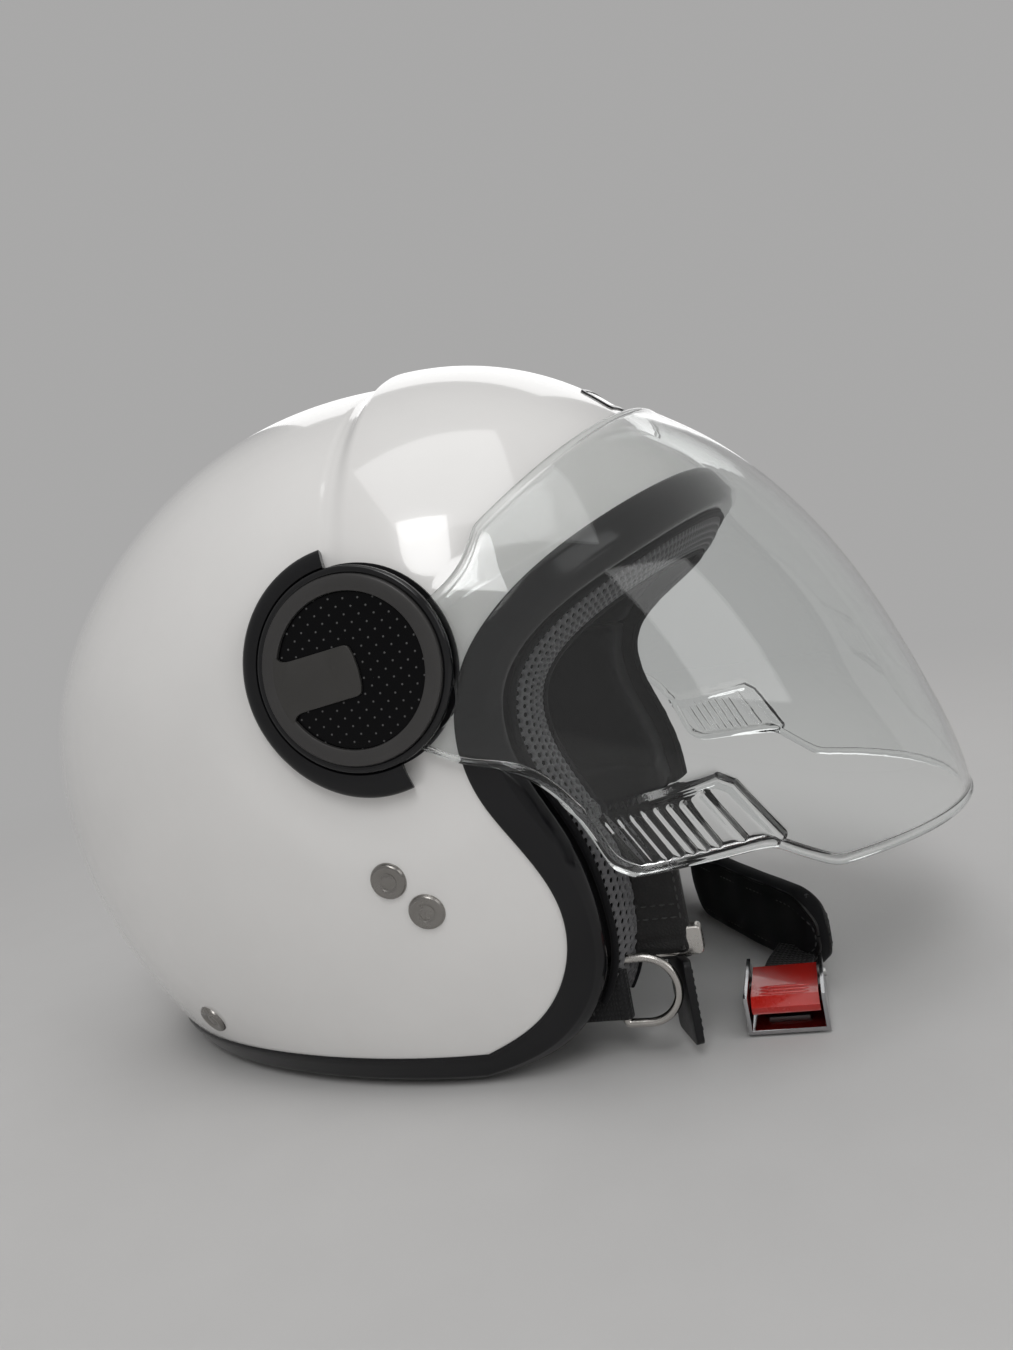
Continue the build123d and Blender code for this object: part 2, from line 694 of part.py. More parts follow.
with BuildPart() as buckle_frame:
    with BuildSketch(Plane.XZ.offset(-BUCKLE_Y[0])):
        with Locations(((BUCKLE_X[0] + BUCKLE_X[1]) / 2, BUCKLE_TOP / 2 + 0.5)):
            Rectangle(BUCKLE_X[1] - BUCKLE_X[0], BUCKLE_TOP - 1)
    extrude(amount=BUCKLE_Y[0] - BUCKLE_Y[1])
    with BuildSketch(Plane.XZ.offset(-BUCKLE_Y[0] - BUCKLE_WALL)):
        with Locations(((BUCKLE_X[0] + BUCKLE_X[1]) / 2, BUCKLE_TOP)):
            Rectangle(BUCKLE_X[1] - BUCKLE_X[0] + 1, 2 * (BUCKLE_TOP - 1 - BUCKLE_WALL))
    extrude(amount=BUCKLE_Y[0] - BUCKLE_Y[1] + 2 * BUCKLE_WALL, mode=Mode.SUBTRACT)
    with BuildSketch(Plane.XZ.offset(-BUCKLE_Y[0])):
        with Locations((PIN_X, PIN_Z)):
            Circle(PIN_RADIUS)
    extrude(amount=BUCKLE_Y[0] - BUCKLE_Y[1], mode=Mode.SUBTRACT)
finish(buckle_frame, "buckle_frame")

with BuildPart() as buckle_pin:
    with BuildSketch(Plane.XZ.offset(-BUCKLE_Y[0] + 0.6)):
        with Locations((PIN_X, PIN_Z)):
            Circle(PIN_RADIUS)
    extrude(amount=BUCKLE_Y[0] - BUCKLE_Y[1] - 1.2)
finish(buckle_pin, "buckle_pin")

with BuildPart() as buckle_lever:
    with BuildSketch(Plane.XZ.offset(-BUCKLE_Y[0] - BUCKLE_WALL - LEVER_GAP)):
        with BuildLine():
            Polyline(
                (-50.5, 5.2), (-62, 6.6), (-76.5, 6.6), (-77.5, 9), (-74, 11.2), (-50.5, 11.2), close=True
            )
        make_face()
        with Locations((PIN_X, PIN_Z)):
            Circle(3.0)
            Circle(PIN_RADIUS + 0.05, mode=Mode.SUBTRACT)
    extrude(amount=BUCKLE_Y[0] - BUCKLE_Y[1] + 2 * (BUCKLE_WALL + LEVER_GAP))
finish(buckle_lever, "buckle_lever")

with BuildPart() as buckle_pawl:
    with BuildSketch(Plane.XZ.offset(-BUCKLE_Y[0] - 6)):
        with BuildLine():
            Polyline((-63, 6.6), (-63, 5.6), (-66, 3.4), (-67.5, 3.4), (-67.5, 6.6), close=True)
        make_face()
    extrude(amount=BUCKLE_Y[0] - BUCKLE_Y[1] + 12)
finish(buckle_pawl, "buckle_pawl")

with BuildPart() as buckle_spring:
    for wall in (BUCKLE_Y[0] + BUCKLE_WALL, BUCKLE_Y[1] - BUCKLE_WALL - 0.5):
        with BuildSketch(Plane.XZ.offset(-wall)):
            with Locations((PIN_X, PIN_Z)):
                Circle(PIN_RADIUS + 0.7)
                Circle(PIN_RADIUS, mode=Mode.SUBTRACT)
        extrude(amount=-0.5)
finish(buckle_spring, "buckle_spring")

buckle_tab = block((BUCKLE_X[1], -30), (-107, -91), (5, 6.8))
with BuildPart() as buckle_webbing:
    add(buckle_tab)
    add(chin_pad.part, mode=Mode.SUBTRACT)
finish(buckle_webbing, "buckle_webbing")

# ---- badge --------------------------------------------------------------------------------------

BADGE_HALF = 30.0
badge_low, badge_high = polar(FAR, 44.5), polar(FAR, 52.5)
badge_room = side_slab([(0, 0), badge_low, badge_high])
badge_room &= block((-BADGE_HALF, BADGE_HALF), (-FAR, FAR), (0, 300))
badge_skin = egg(0.5, cap_radii)
with BuildPart() as forehead_badge:
    add(badge_skin)
    add(badge_room, mode=Mode.INTERSECT)
    add(cap_solid, mode=Mode.SUBTRACT)
finish(forehead_badge, "forehead_badge")
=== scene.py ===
"""Open face motorcycle helmet: the pieces that are seen and their finishes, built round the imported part.

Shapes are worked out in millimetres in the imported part's frame and turned into metres when a mesh is
made. +Z is up, the face looks along -Y and the wearer's right is -X. A point of the side view is
(forward, up) from the visor's pivot axis. A point of a skin is (turn, sweep): turn is the direction in
the side view, and sweep runs from 0 at the side of the helmet to 90 degrees at its middle.
"""

import json
import logging
import math
from dataclasses import dataclass, field
from enum import Enum, auto
from typing import Sequence

import bmesh
import bpy
import numpy as np
from mathutils import Matrix, Vector

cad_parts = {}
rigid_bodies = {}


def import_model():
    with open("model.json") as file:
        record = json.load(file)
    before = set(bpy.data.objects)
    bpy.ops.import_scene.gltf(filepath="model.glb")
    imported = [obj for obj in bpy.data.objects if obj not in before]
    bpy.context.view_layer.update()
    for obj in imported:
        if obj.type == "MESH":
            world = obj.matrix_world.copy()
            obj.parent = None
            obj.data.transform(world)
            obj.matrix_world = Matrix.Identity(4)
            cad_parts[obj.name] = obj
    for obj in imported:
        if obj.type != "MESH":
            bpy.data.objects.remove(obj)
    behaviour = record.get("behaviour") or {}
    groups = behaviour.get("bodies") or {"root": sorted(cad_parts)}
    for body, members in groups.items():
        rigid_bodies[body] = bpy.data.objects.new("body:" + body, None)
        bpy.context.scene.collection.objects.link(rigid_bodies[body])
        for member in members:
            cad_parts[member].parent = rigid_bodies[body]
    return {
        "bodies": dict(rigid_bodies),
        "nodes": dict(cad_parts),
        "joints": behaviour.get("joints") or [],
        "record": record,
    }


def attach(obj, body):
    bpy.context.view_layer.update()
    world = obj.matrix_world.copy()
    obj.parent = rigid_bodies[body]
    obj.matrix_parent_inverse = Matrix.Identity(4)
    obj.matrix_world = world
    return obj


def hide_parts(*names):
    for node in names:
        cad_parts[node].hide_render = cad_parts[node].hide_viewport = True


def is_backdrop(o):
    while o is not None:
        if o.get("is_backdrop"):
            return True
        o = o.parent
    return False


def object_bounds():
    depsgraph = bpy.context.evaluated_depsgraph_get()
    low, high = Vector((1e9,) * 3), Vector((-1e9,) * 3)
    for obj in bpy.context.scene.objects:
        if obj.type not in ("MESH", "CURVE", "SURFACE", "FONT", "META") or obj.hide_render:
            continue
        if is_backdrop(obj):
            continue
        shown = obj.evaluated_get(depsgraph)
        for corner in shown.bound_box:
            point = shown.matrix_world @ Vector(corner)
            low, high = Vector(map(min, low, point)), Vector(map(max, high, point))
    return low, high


LOG = logging.getLogger("helmet")
MM = 0.001
PIVOT_Y, PIVOT_Z = -3.5, 132.0
SIDES = {"right": -1, "left": 1}

Array = np.ndarray
Object = bpy.types.Object


# ---- curves and skins ---------------------------------------------------------------------------


def spline(points: Sequence, closed: bool = False, per_span: int = 40) -> tuple[Array, Array]:
    """Smooth curve through points, spaced by chord length.

    Args:
        points: The points to pass through.
        closed: Whether the curve returns to its start.
        per_span: Samples between neighbouring points.

    Returns:
        The sampled points, and each sample's place counted in spans.
    """
    knots = np.array(points, float)
    if closed:
        knots = np.vstack([knots, knots[:1]])
    step = np.linalg.norm(np.diff(knots, axis=0), axis=1)
    count = len(knots)
    matrix = np.zeros((count, count))
    right = np.zeros((count, knots.shape[1]))
    slope = np.diff(knots, axis=0) / step[:, None]
    for i in range(1, count - 1):
        matrix[i, i - 1 : i + 2] = step[i - 1], 2 * (step[i - 1] + step[i]), step[i]
        right[i] = 6 * (slope[i] - slope[i - 1])
    if closed:
        matrix[0, 0], matrix[0, -1] = 1, -1
        matrix[-1, 0], matrix[-1, 1] = 2 * step[0], step[0]
        matrix[-1, -2], matrix[-1, -1] = step[-1], 2 * step[-1]
        right[-1] = 6 * (slope[0] - slope[-1])
    else:
        matrix[0, 0] = matrix[-1, -1] = 1
    bend = np.linalg.solve(matrix, right)
    out, place = [], []
    for i in range(count - 1):
        t = np.arange(per_span)[:, None] / per_span
        if i == count - 2:
            t = np.vstack([t, [[1.0]]])
        low, high = (1 - t) * step[i], t * step[i]
        part = (1 - t) * knots[i] + t * knots[i + 1]
        part += (low**3 / step[i] - step[i] * low) / 6 * bend[i]
        part += (high**3 / step[i] - step[i] * high) / 6 * bend[i + 1]
        out.append(part)
        place.append(i + t[:, 0])
    return np.vstack(out), np.concatenate(place)


def resample(points: Array, step: float, closed: bool = False) -> Array:
    """Points spaced evenly, about step apart, along a polyline.

    Args:
        points: Corners of the polyline.
        step: Distance between points, in millimetres.
        closed: Whether the last point joins the first.

    Returns:
        The new points.
    """
    line = np.array(points, float)
    if closed:
        line = np.vstack([line, line[:1]])
    run = np.concatenate([[0], np.cumsum(np.linalg.norm(np.diff(line, axis=0), axis=1))])
    count = max(2, int(round(run[-1] / step)) + 1)
    at = np.linspace(0, run[-1], count)
    even = np.stack([np.interp(at, run, line[:, k]) for k in range(line.shape[1])], axis=1)
    return even[:-1] if closed else even


def softened(points: Sequence, step: float = 1.0, rounds: int = 12, closed: bool = False) -> Array:
    """Polyline with its corners rounded, sampled about step apart.

    Args:
        points: Corners of the polyline.
        step: Distance between points, in millimetres.
        rounds: Smoothing steps.
        closed: Whether the last point joins the first.

    Returns:
        The rounded line's points.
    """
    line = resample(np.array(points, float), step, closed)
    for _ in range(rounds):
        if closed:
            line = (np.roll(line, 1, 0) + 2 * line + np.roll(line, -1, 0)) / 4
        else:
            line[1:-1] = (line[:-2] + 2 * line[1:-1] + line[2:]) / 4
    return line


def smooth_step(value: Array, low: float, high: float) -> Array:
    """0 below low, 1 above high, and a smooth rise between them."""
    t = np.clip((np.asarray(value, float) - low) / (high - low), 0, 1)
    return t * t * t * (t * (6 * t - 15) + 10)


@dataclass
class Skin:
    """Rounded surface whose section at each distance from the middle is one outline, made smaller."""

    radii: dict
    half_width: float
    squareness: float = 2.1
    flat_share: float = 0.967
    side_softness: float = 0.35
    _tables: dict = field(default_factory=dict)

    def radius(self, turn: Array, grow: float = 0.0) -> Array:
        """Radius of the middle section in the directions turn, in degrees.

        Args:
            turn: Directions in side view, in degrees.
            grow: Distance off the skin, outwards, in millimetres.

        Returns:
            The radii, in millimetres.
        """
        key = round(grow, 3)
        if key not in self._tables:
            corners = [
                ((r + grow) * math.cos(math.radians(a)), (r + grow) * math.sin(math.radians(a)))
                for a, r in self.radii.items()
            ]
            line, _ = spline(corners, closed=True)
            angles = np.degrees(np.unwrap(np.arctan2(line[:, 1], line[:, 0])))
            self._tables[key] = (angles, np.hypot(line[:, 0], line[:, 1]))
        angles, reach = self._tables[key]
        start = angles[0]
        return np.interp((np.asarray(turn, float) - start) % 360 + start, angles, reach)

    def reach(self, turn: Array, sweep: Array, grow: float) -> Array:
        """Radius towards turn that a point at sweep is measured against."""
        return self.radius(turn, grow)

    def place(self, turn: Array, sweep: Array, grow: float = 0.0, side: int = -1) -> Array:
        """Points of the skin grown by grow, on the given side, in the part's frame.

        Args:
            turn: Directions in side view, in degrees.
            sweep: Angles across the head, 90 at the middle plane.
            grow: Distance off the skin, outwards, in millimetres.
            side: -1 for the wearer's right, 1 for the left.

        Returns:
            The points, in millimetres.
        """
        turn, sweep = np.broadcast_arrays(np.asarray(turn, float), np.asarray(sweep, float))
        share = np.clip(np.sin(np.radians(sweep)), 0, 1)
        width = self.half_width + grow
        rounded = width * np.maximum(1 - share**self.squareness, 0) ** (1 / self.squareness)
        flat = self.flat_share * width
        soft = self.side_softness
        across = flat - soft * np.logaddexp(0, (flat - rounded) / soft)
        across = np.where(share > 0.9, rounded, across)
        across = np.where(np.cos(np.radians(sweep)) < 0, -across, across)
        distance = share * self.reach(turn, sweep, grow)
        radians = np.radians(turn)
        forward, up = distance * np.cos(radians), distance * np.sin(radians)
        return np.stack([side * across, PIVOT_Y - forward, PIVOT_Z + up], axis=-1)

    def outward(self, turn: Array, sweep: Array, grow: float = 0.0, side: int = -1) -> Array:
        """Unit normals of the skin that point away from the head.

        Args:
            turn: Directions in side view, in degrees.
            sweep: Angles across the head, 90 at the middle plane.
            grow: Distance off the skin, outwards, in millimetres.
            side: -1 for the wearer's right, 1 for the left.

        Returns:
            The unit normals.
        """
        delta = 0.3
        sweep = np.maximum(sweep, 2 * delta)
        ahead, behind = turn + delta, turn - delta
        along = self.place(ahead, sweep, grow, side) - self.place(behind, sweep, grow, side)
        over = self.place(turn, sweep + delta, grow, side) - self.place(turn, sweep - delta, grow, side)
        normal = np.cross(along, over)
        point = self.place(turn, sweep, grow, side)
        away = point - np.array([0, PIVOT_Y, PIVOT_Z])
        normal *= np.sign(np.sum(normal * away, axis=-1, keepdims=True))
        return normal / np.maximum(np.linalg.norm(normal, axis=-1, keepdims=True), 1e-9)

    def lifted(self, turn: Array, sweep: Array, lift: Array, side: int = -1) -> Array:
        """Points that stand lift millimetres out of the skin."""
        normal = self.outward(turn, sweep, 0.0, side)
        return self.place(turn, sweep, 0.0, side) + normal * np.asarray(lift)[..., None]

    def locate(self, points: Array, grow: float = 0.0) -> tuple[Array, Array]:
        """Turn and sweep of side view points."""
        points = np.asarray(points, float)
        turn = np.degrees(np.arctan2(points[..., 1], points[..., 0]))
        share = np.hypot(points[..., 0], points[..., 1]) / self.radius(turn, grow)
        return turn, np.degrees(np.arcsin(np.clip(share, 0, 1)))

    def sweep_at(self, across: Array, grow: float = 0.0) -> Array:
        """Sweep of the points at a distance from the middle."""
        share = np.clip(np.abs(across) / (self.half_width + grow), 0, 1)
        return np.degrees(np.arcsin((1 - share**self.squareness) ** (1 / self.squareness)))


@dataclass
class PaintedSkin(Skin):
    """The painted skin, with the raised band over the crown and its rounded rear step."""

    band_radius: float = 100.5
    step_from: float = 2.6
    step_to: float = -4.6
    valley: float = 0.35

    def reach(self, turn: Array, sweep: Array, grow: float) -> Array:
        """Radius of the skin, raised to the band in front of the step.

        Args:
            turn: Directions in side view, in degrees.
            sweep: Angles across the head, 90 at the middle plane.
            grow: Distance off the skin, outwards, in millimetres.

        Returns:
            The radii, in millimetres.
        """
        plain = self.radius(turn, grow)
        forward = np.sin(np.radians(sweep)) * plain * np.cos(np.radians(turn))
        ahead = (np.cos(np.radians(turn - 35)) > 0) | (np.abs(turn - 95) < 40)
        raised = smooth_step(forward, self.step_to, self.step_from) * ahead
        extra = np.maximum(self.band_radius + grow - plain, 0)
        groove = self.valley * np.exp(-(((forward - self.step_to + 1.2) / 1.3) ** 2))
        return plain + raised * extra - groove * smooth_step(extra, 0.5, 2.5)


SHELL = PaintedSkin(
    radii={
        -90: 208, -60: 187, -30: 140, 0: 114, 25: 106.5, 45: 97, 65: 94,
        90: 96, 120: 108.5, 150: 133, 180: 169, 210: 188, 240: 196,
    },
    half_width=122.0,
)
VISOR_SKIN = Skin(
    radii={
        -90: 196, -60: 197, -40: 195, -27: 184, -15: 161, 0: 139, 15: 123.5, 30: 111.5,
        45: 103.3, 60: 103, 90: 103, 120: 103, 150: 108, 180: 130, 210: 160, 240: 182,
    },
    half_width=124.5,
)
PAINTED_EDGE = [
    (9, -121), (27, -111), (39.5, -93), (41.5, -76), (35, -57), (25, -34),
    (27, -10), (46, 14), (71, 30), (112, 51),
]
FREE_EDGE = [
    (5, -132), (32, -123), (49, -103), (52, -82), (48, -56), (39, -30),
    (40.5, -11), (55, 5), (78, 18), (116, 39),
]
RIM_TOP, RIM_BOTTOM = -121.0, -132.0


# ---- meshes -------------------------------------------------------------------------------------


def quads(rows: int, columns: int, offset: int = 0, close_rows: bool = False,
          close_columns: bool = False) -> list:
    """Faces of a grid of vertices that is numbered row by row.

    Args:
        rows: Number of rows.
        columns: Vertices in a row.
        offset: Number of the first vertex.
        close_rows: Whether the last row joins the first.
        close_columns: Whether each row is a loop.

    Returns:
        The faces, as tuples of vertex numbers.
    """
    faces = []
    for r in range(rows if close_rows else rows - 1):
        for c in range(columns if close_columns else columns - 1):
            a, b = r * columns + c, r * columns + (c + 1) % columns
            d, e = ((r + 1) % rows) * columns + c, ((r + 1) % rows) * columns + (c + 1) % columns
            faces.append((offset + a, offset + b, offset + e, offset + d))
    return faces


def mesh_object(name: str, points: Array, faces: list, crease: float = 40.0, weld: float = 0.002) -> Object:
    """Mesh object from points in millimetres, welded, with outward normals and smooth shading.

    Args:
        name: The object's name.
        points: Vertices in millimetres.
        faces: Vertex numbers of each face.
        crease: Edges sharper than this angle, in degrees, stay sharp.
        weld: Vertices nearer than this, in millimetres, become one.

    Returns:
        The new object.
    """
    mesh = bpy.data.meshes.new(name)
    mesh.from_pydata((np.asarray(points, float).reshape(-1, 3) * MM).tolist(), [], faces)
    obj = bpy.data.objects.new(name, mesh)
    bpy.context.scene.collection.objects.link(obj)
    tidy_mesh(mesh, weld, crease)
    return obj


def tidy_mesh(mesh: bpy.types.Mesh, weld: float, crease: float) -> None:
    """Weld near vertices, point the normals outwards and shade smooth with sharp creases.

    Args:
        mesh: The mesh, changed in place.
        weld: Distance under which vertices are welded.
        crease: Angle from which an edge stays sharp, in degrees.
    """
    form = bmesh.new()
    form.from_mesh(mesh)
    bmesh.ops.remove_doubles(form, verts=form.verts, dist=weld * MM)
    bmesh.ops.dissolve_degenerate(form, edges=form.edges, dist=1e-7)
    bmesh.ops.recalc_face_normals(form, faces=form.faces)
    form.to_mesh(mesh)
    form.free()
    mesh.polygons.foreach_set("use_smooth", [True] * len(mesh.polygons))
    mesh.set_sharp_from_angle(angle=math.radians(crease))
    mesh.update()


def joined(name: str, parts: list[Object]) -> Object:
    """One object made of several, which are used up.

    Args:
        name: The object's name.
        parts: The objects to join.

    Returns:
        The new object.
    """
    form = bmesh.new()
    for part in parts:
        part.data.transform(part.matrix_world)
        form.from_mesh(part.data)
        bpy.data.objects.remove(part)
    mesh = bpy.data.meshes.new(name)
    form.to_mesh(mesh)
    form.free()
    obj = bpy.data.objects.new(name, mesh)
    bpy.context.scene.collection.objects.link(obj)
    return obj


def frames_along(path: Array, up: Sequence, closed: bool = False) -> tuple[Array, Array, Array]:
    """Tangents of a path, and two directions across it, the second nearest to up.

    Args:
        path: Points of the path.
        up: Direction that the section's second axis keeps near.
        closed: Whether the last point joins the first.

    Returns:
        Tangents, first and second directions across.
    """
    if closed:
        tangent = np.roll(path, -1, 0) - np.roll(path, 1, 0)
    else:
        tangent = np.gradient(path, axis=0)
    tangent /= np.linalg.norm(tangent, axis=1, keepdims=True)
    ups = np.broadcast_to(np.array(up, float), path.shape)
    over = np.cross(tangent, ups)
    over /= np.maximum(np.linalg.norm(over, axis=1, keepdims=True), 1e-9)
    return tangent, over, np.cross(over, tangent)


def swept(name: str, path: Array, profile: Array, up: Sequence, closed: bool = False,
          scale: Array | None = None, crease: float = 40.0) -> Object:
    """Closed profile carried along a path.

    Args:
        name: The object's name.
        path: Points of the path, in millimetres.
        profile: (sideways, upward) corners of the section.
        up: The direction that the section's second coordinate keeps to.
        closed: Whether the path is a loop.
        scale: Size of the section at each point of the path, one or two numbers each.
        crease: Edges sharper than this angle stay sharp.

    Returns:
        The new object, with a UV map in metres along and round it.
    """
    _, over, rise = frames_along(path, up, closed)
    rows, columns = len(path), len(profile)
    size = np.ones((rows, 2))
    if scale is not None:
        size = np.asarray(scale, float).reshape(rows, -1) * size
    points = (
        path[:, None, :]
        + over[:, None, :] * (profile[None, :, :1] * size[:, None, :1])
        + rise[:, None, :] * (profile[None, :, 1:] * size[:, None, 1:])
    ).reshape(-1, 3)
    faces = quads(rows, columns, close_rows=closed, close_columns=True)
    if not closed:
        faces.append(tuple(range(columns)))
        faces.append(tuple(range((rows - 1) * columns, rows * columns)))
    mesh = bpy.data.meshes.new(name)
    mesh.from_pydata((points * MM).tolist(), [], faces)
    run = np.concatenate([[0], np.cumsum(np.linalg.norm(np.diff(path, axis=0), axis=1))])
    around = np.concatenate([[0], np.cumsum(np.linalg.norm(np.diff(profile, axis=0), axis=1))])
    layer = mesh.uv_layers.new(name="Run")
    index = np.zeros(len(mesh.loops), int)
    mesh.loops.foreach_get("vertex_index", index)
    flat = np.stack([run[index // columns], around[index % columns]], axis=1) * MM
    layer.data.foreach_set("uv", flat.ravel())
    obj = bpy.data.objects.new(name, mesh)
    bpy.context.scene.collection.objects.link(obj)
    tidy_mesh(mesh, 0.0005, crease)
    return obj


def round_profile(radius: float, sides: int = 20) -> Array:
    """Circle as a section."""
    angles = np.linspace(0, 2 * np.pi, sides, endpoint=False)
    return np.stack([radius * np.cos(angles), radius * np.sin(angles)], axis=1)


def box_profile(width: float, height: float, corner: float, per_corner: int = 4, across: int = 6) -> Array:
    """Rounded rectangle as a section, with points along its long sides.

    Args:
        width: Size along the first axis.
        height: Size along the second axis.
        corner: Corner radius.
        per_corner: Pieces in a corner.
        across: Pieces along a long side.

    Returns:
        The section's points.
    """
    corners = []
    for cx, cy, start in ((1, 1, 0), (-1, 1, 90), (-1, -1, 180), (1, -1, 270)):
        for k in range(per_corner + 1):
            angle = math.radians(start + 90 * k / per_corner)
            corners.append((
                cx * (width / 2 - corner) + corner * math.cos(angle),
                cy * (height / 2 - corner) + corner * math.sin(angle),
            ))
    return resample(np.array(corners), min(width, height) / across, closed=True)


def lathe(name: str, profile: Sequence, origin: Sequence, axis: Sequence, turn_from: float = 0.0,
          turn_to: float = 360.0, steps: int = 128, slant: float = 0.0, crease: float = 35.0) -> Object:
    """Profile of (radius, height) turned about an axis.

    Args:
        name: The object's name.
        profile: Corners of the section, in order.
        origin: A point of the axis, where height is 0.
        axis: Direction of height.
        turn_from: Start in degrees, from forward and counted upwards where the axis points sideways.
        turn_to: End in degrees.
        steps: Divisions round the axis.
        slant: Degrees by which the ends shift for each millimetre of height below the top.
        crease: Edges sharper than this angle stay sharp.

    Returns:
        The new object.
    """
    axis = np.array(axis, float) / np.linalg.norm(axis)
    first = np.array([0.0, -1.0, 0.0])
    first -= axis * first.dot(axis)
    first /= np.linalg.norm(first)
    second = np.cross(axis, first)
    if second[2] < 0:
        second = -second
    section = np.array(profile, float)
    whole = abs(turn_to - turn_from) >= 360
    count = steps if whole else steps + 1
    share = np.arange(count) / steps
    top = section[:, 1].max()
    angles = np.zeros((count, len(section)))
    for k, (_, height) in enumerate(section):
        low = turn_from - slant * (top - height)
        high = turn_to + slant * (top - height)
        angles[:, k] = np.radians(low + (high - low) * share)
    around = np.cos(angles)[..., None] * first + np.sin(angles)[..., None] * second
    points = np.array(origin) + around * section[None, :, :1] + axis * section[None, :, 1:]
    closed_section = section[0, 0] > 1e-6 and section[-1, 0] > 1e-6
    faces = quads(count, len(section), close_rows=whole, close_columns=closed_section)
    if not whole:
        faces.append(tuple(range(len(section))))
        faces.append(tuple(range((count - 1) * len(section), count * len(section))))
    return mesh_object(name, points.reshape(-1, 3), faces, crease)


def outline_plate(name: str, outline: Array, low: float, high: float, side: int, edge: float) -> Object:
    """Flat plate across the pivot axis over a side view outline, with a rounded outer edge.

    Args:
        name: The object's name.
        outline: Outline in side view.
        low: Inner height from the middle plane.
        high: Outer height from the middle plane.
        side: -1 for the wearer's right, 1 for the left.
        edge: Radius of the outer edge.

    Returns:
        The new object.
    """
    steps = [(0.0, low), (0.0, high - edge), (edge * 0.3, high - edge * 0.3), (edge, high)]
    middle = outline.mean(0)
    inward = middle - outline
    inward /= np.linalg.norm(inward, axis=1, keepdims=True)
    rings = []
    for inset, height in steps:
        ring = outline + inward * inset
        across = np.full(len(ring), side * height)
        rings.append(np.stack([across, PIVOT_Y - ring[:, 0], PIVOT_Z + ring[:, 1]], 1))
    points = np.vstack(rings)
    count = len(outline)
    faces = quads(len(steps), count, close_columns=True)
    faces.append(tuple(range(count)))
    faces.append(tuple(range((len(steps) - 1) * count, len(steps) * count)))
    return mesh_object(name, points, faces, 30)


def stitches(name: str, path: Array, up: Sequence, pitch: float = 2.8, thread: float = 0.28) -> Object:
    """Row of short sewn stitches along a path.

    Args:
        name: The object's name.
        path: Points of the middle line, in millimetres.
        up: Direction that the section's second axis keeps near.
        pitch: Distance from stitch to stitch.
        thread: Radius of the thread.

    Returns:
        The new object.
    """
    line = resample(path, pitch)
    parts = []
    for k in range(len(line) - 1):
        start, end = line[k] * 0.82 + line[k + 1] * 0.18, line[k] * 0.18 + line[k + 1] * 0.82
        run = np.linspace(start, end, 5)
        size = np.array([0.35, 0.9, 1.0, 0.9, 0.35])
        parts.append(swept(f"{name}_{k}", run, round_profile(thread, 6), up, scale=size))
    return joined(name, parts)


def refined_copy(node: str, name: str, bevel: float, segments: int = 3, angle: float = 28.0) -> Object:
    """Copy of a CAD node's shape with its flat faces made whole and its edges rounded.

    Args:
        node: The CAD node to copy.
        name: The new object's name.
        bevel: Rounding of the edges, in millimetres.
        segments: Steps in the rounding.
        angle: Edges sharper than this, in degrees, are rounded.

    Returns:
        The new object.
    """
    form = bmesh.new()
    form.from_mesh(FRAME_NODES[node].data)
    bmesh.ops.remove_doubles(form, verts=form.verts, dist=0.004 * MM)
    bmesh.ops.dissolve_limit(form, angle_limit=math.radians(3), verts=form.verts, edges=form.edges)
    sharp = [e for e in form.edges if len(e.link_faces) == 2 and e.calc_face_angle(0) > math.radians(angle)]
    bmesh.ops.bevel(form, geom=sharp, offset=bevel * MM, segments=segments, profile=0.5, affect="EDGES",
                    clamp_overlap=True)
    mesh = bpy.data.meshes.new(name)
    form.to_mesh(mesh)
    form.free()
    obj = bpy.data.objects.new(name, mesh)
    bpy.context.scene.collection.objects.link(obj)
    tidy_mesh(mesh, 0.001, 40)
    return obj


FRAME_NODES: dict = {}


# ---- finishes -----------------------------------------------------------------------------------


class Grain(Enum):
    """Fine relief of a finish."""

    PEEL = auto()
    LEATHER = auto()
    WEBBING = auto()
    BRUSHED_CLOTH = auto()
    BRUSHED_METAL = auto()
    BEADS = auto()
    DOTS = auto()
    STIPPLE = auto()


@dataclass(frozen=True)
class Finish:
    """A surface finish: its colour, shine, fine relief and the unevenness of both."""

    name: str
    colour: tuple
    roughness: float
    grain: Grain
    metallic: float = 0.0
    coat: float = 0.0
    sheen: float = 0.0
    specular: float = 0.5
    transmission: float = 0.0
    ior: float = 1.5
    relief: float = 0.2
    relief_size: float = 1.0
    mottle: float = 0.06
    uneven: float = 0.06
    dust: float = 0.0

    def material(self) -> bpy.types.Material:
        """The finish as a material, made once."""
        found = bpy.data.materials.get(self.name)
        return found if found else MaterialMaker(self).build()


# Lighter grey painted on the dotted panel's raised dots: a painted highlight.
DOT_HIGHLIGHT_COLOUR = (0.11, 0.11, 0.11, 1)
DUST_COLOUR = (0.55, 0.53, 0.5, 1)


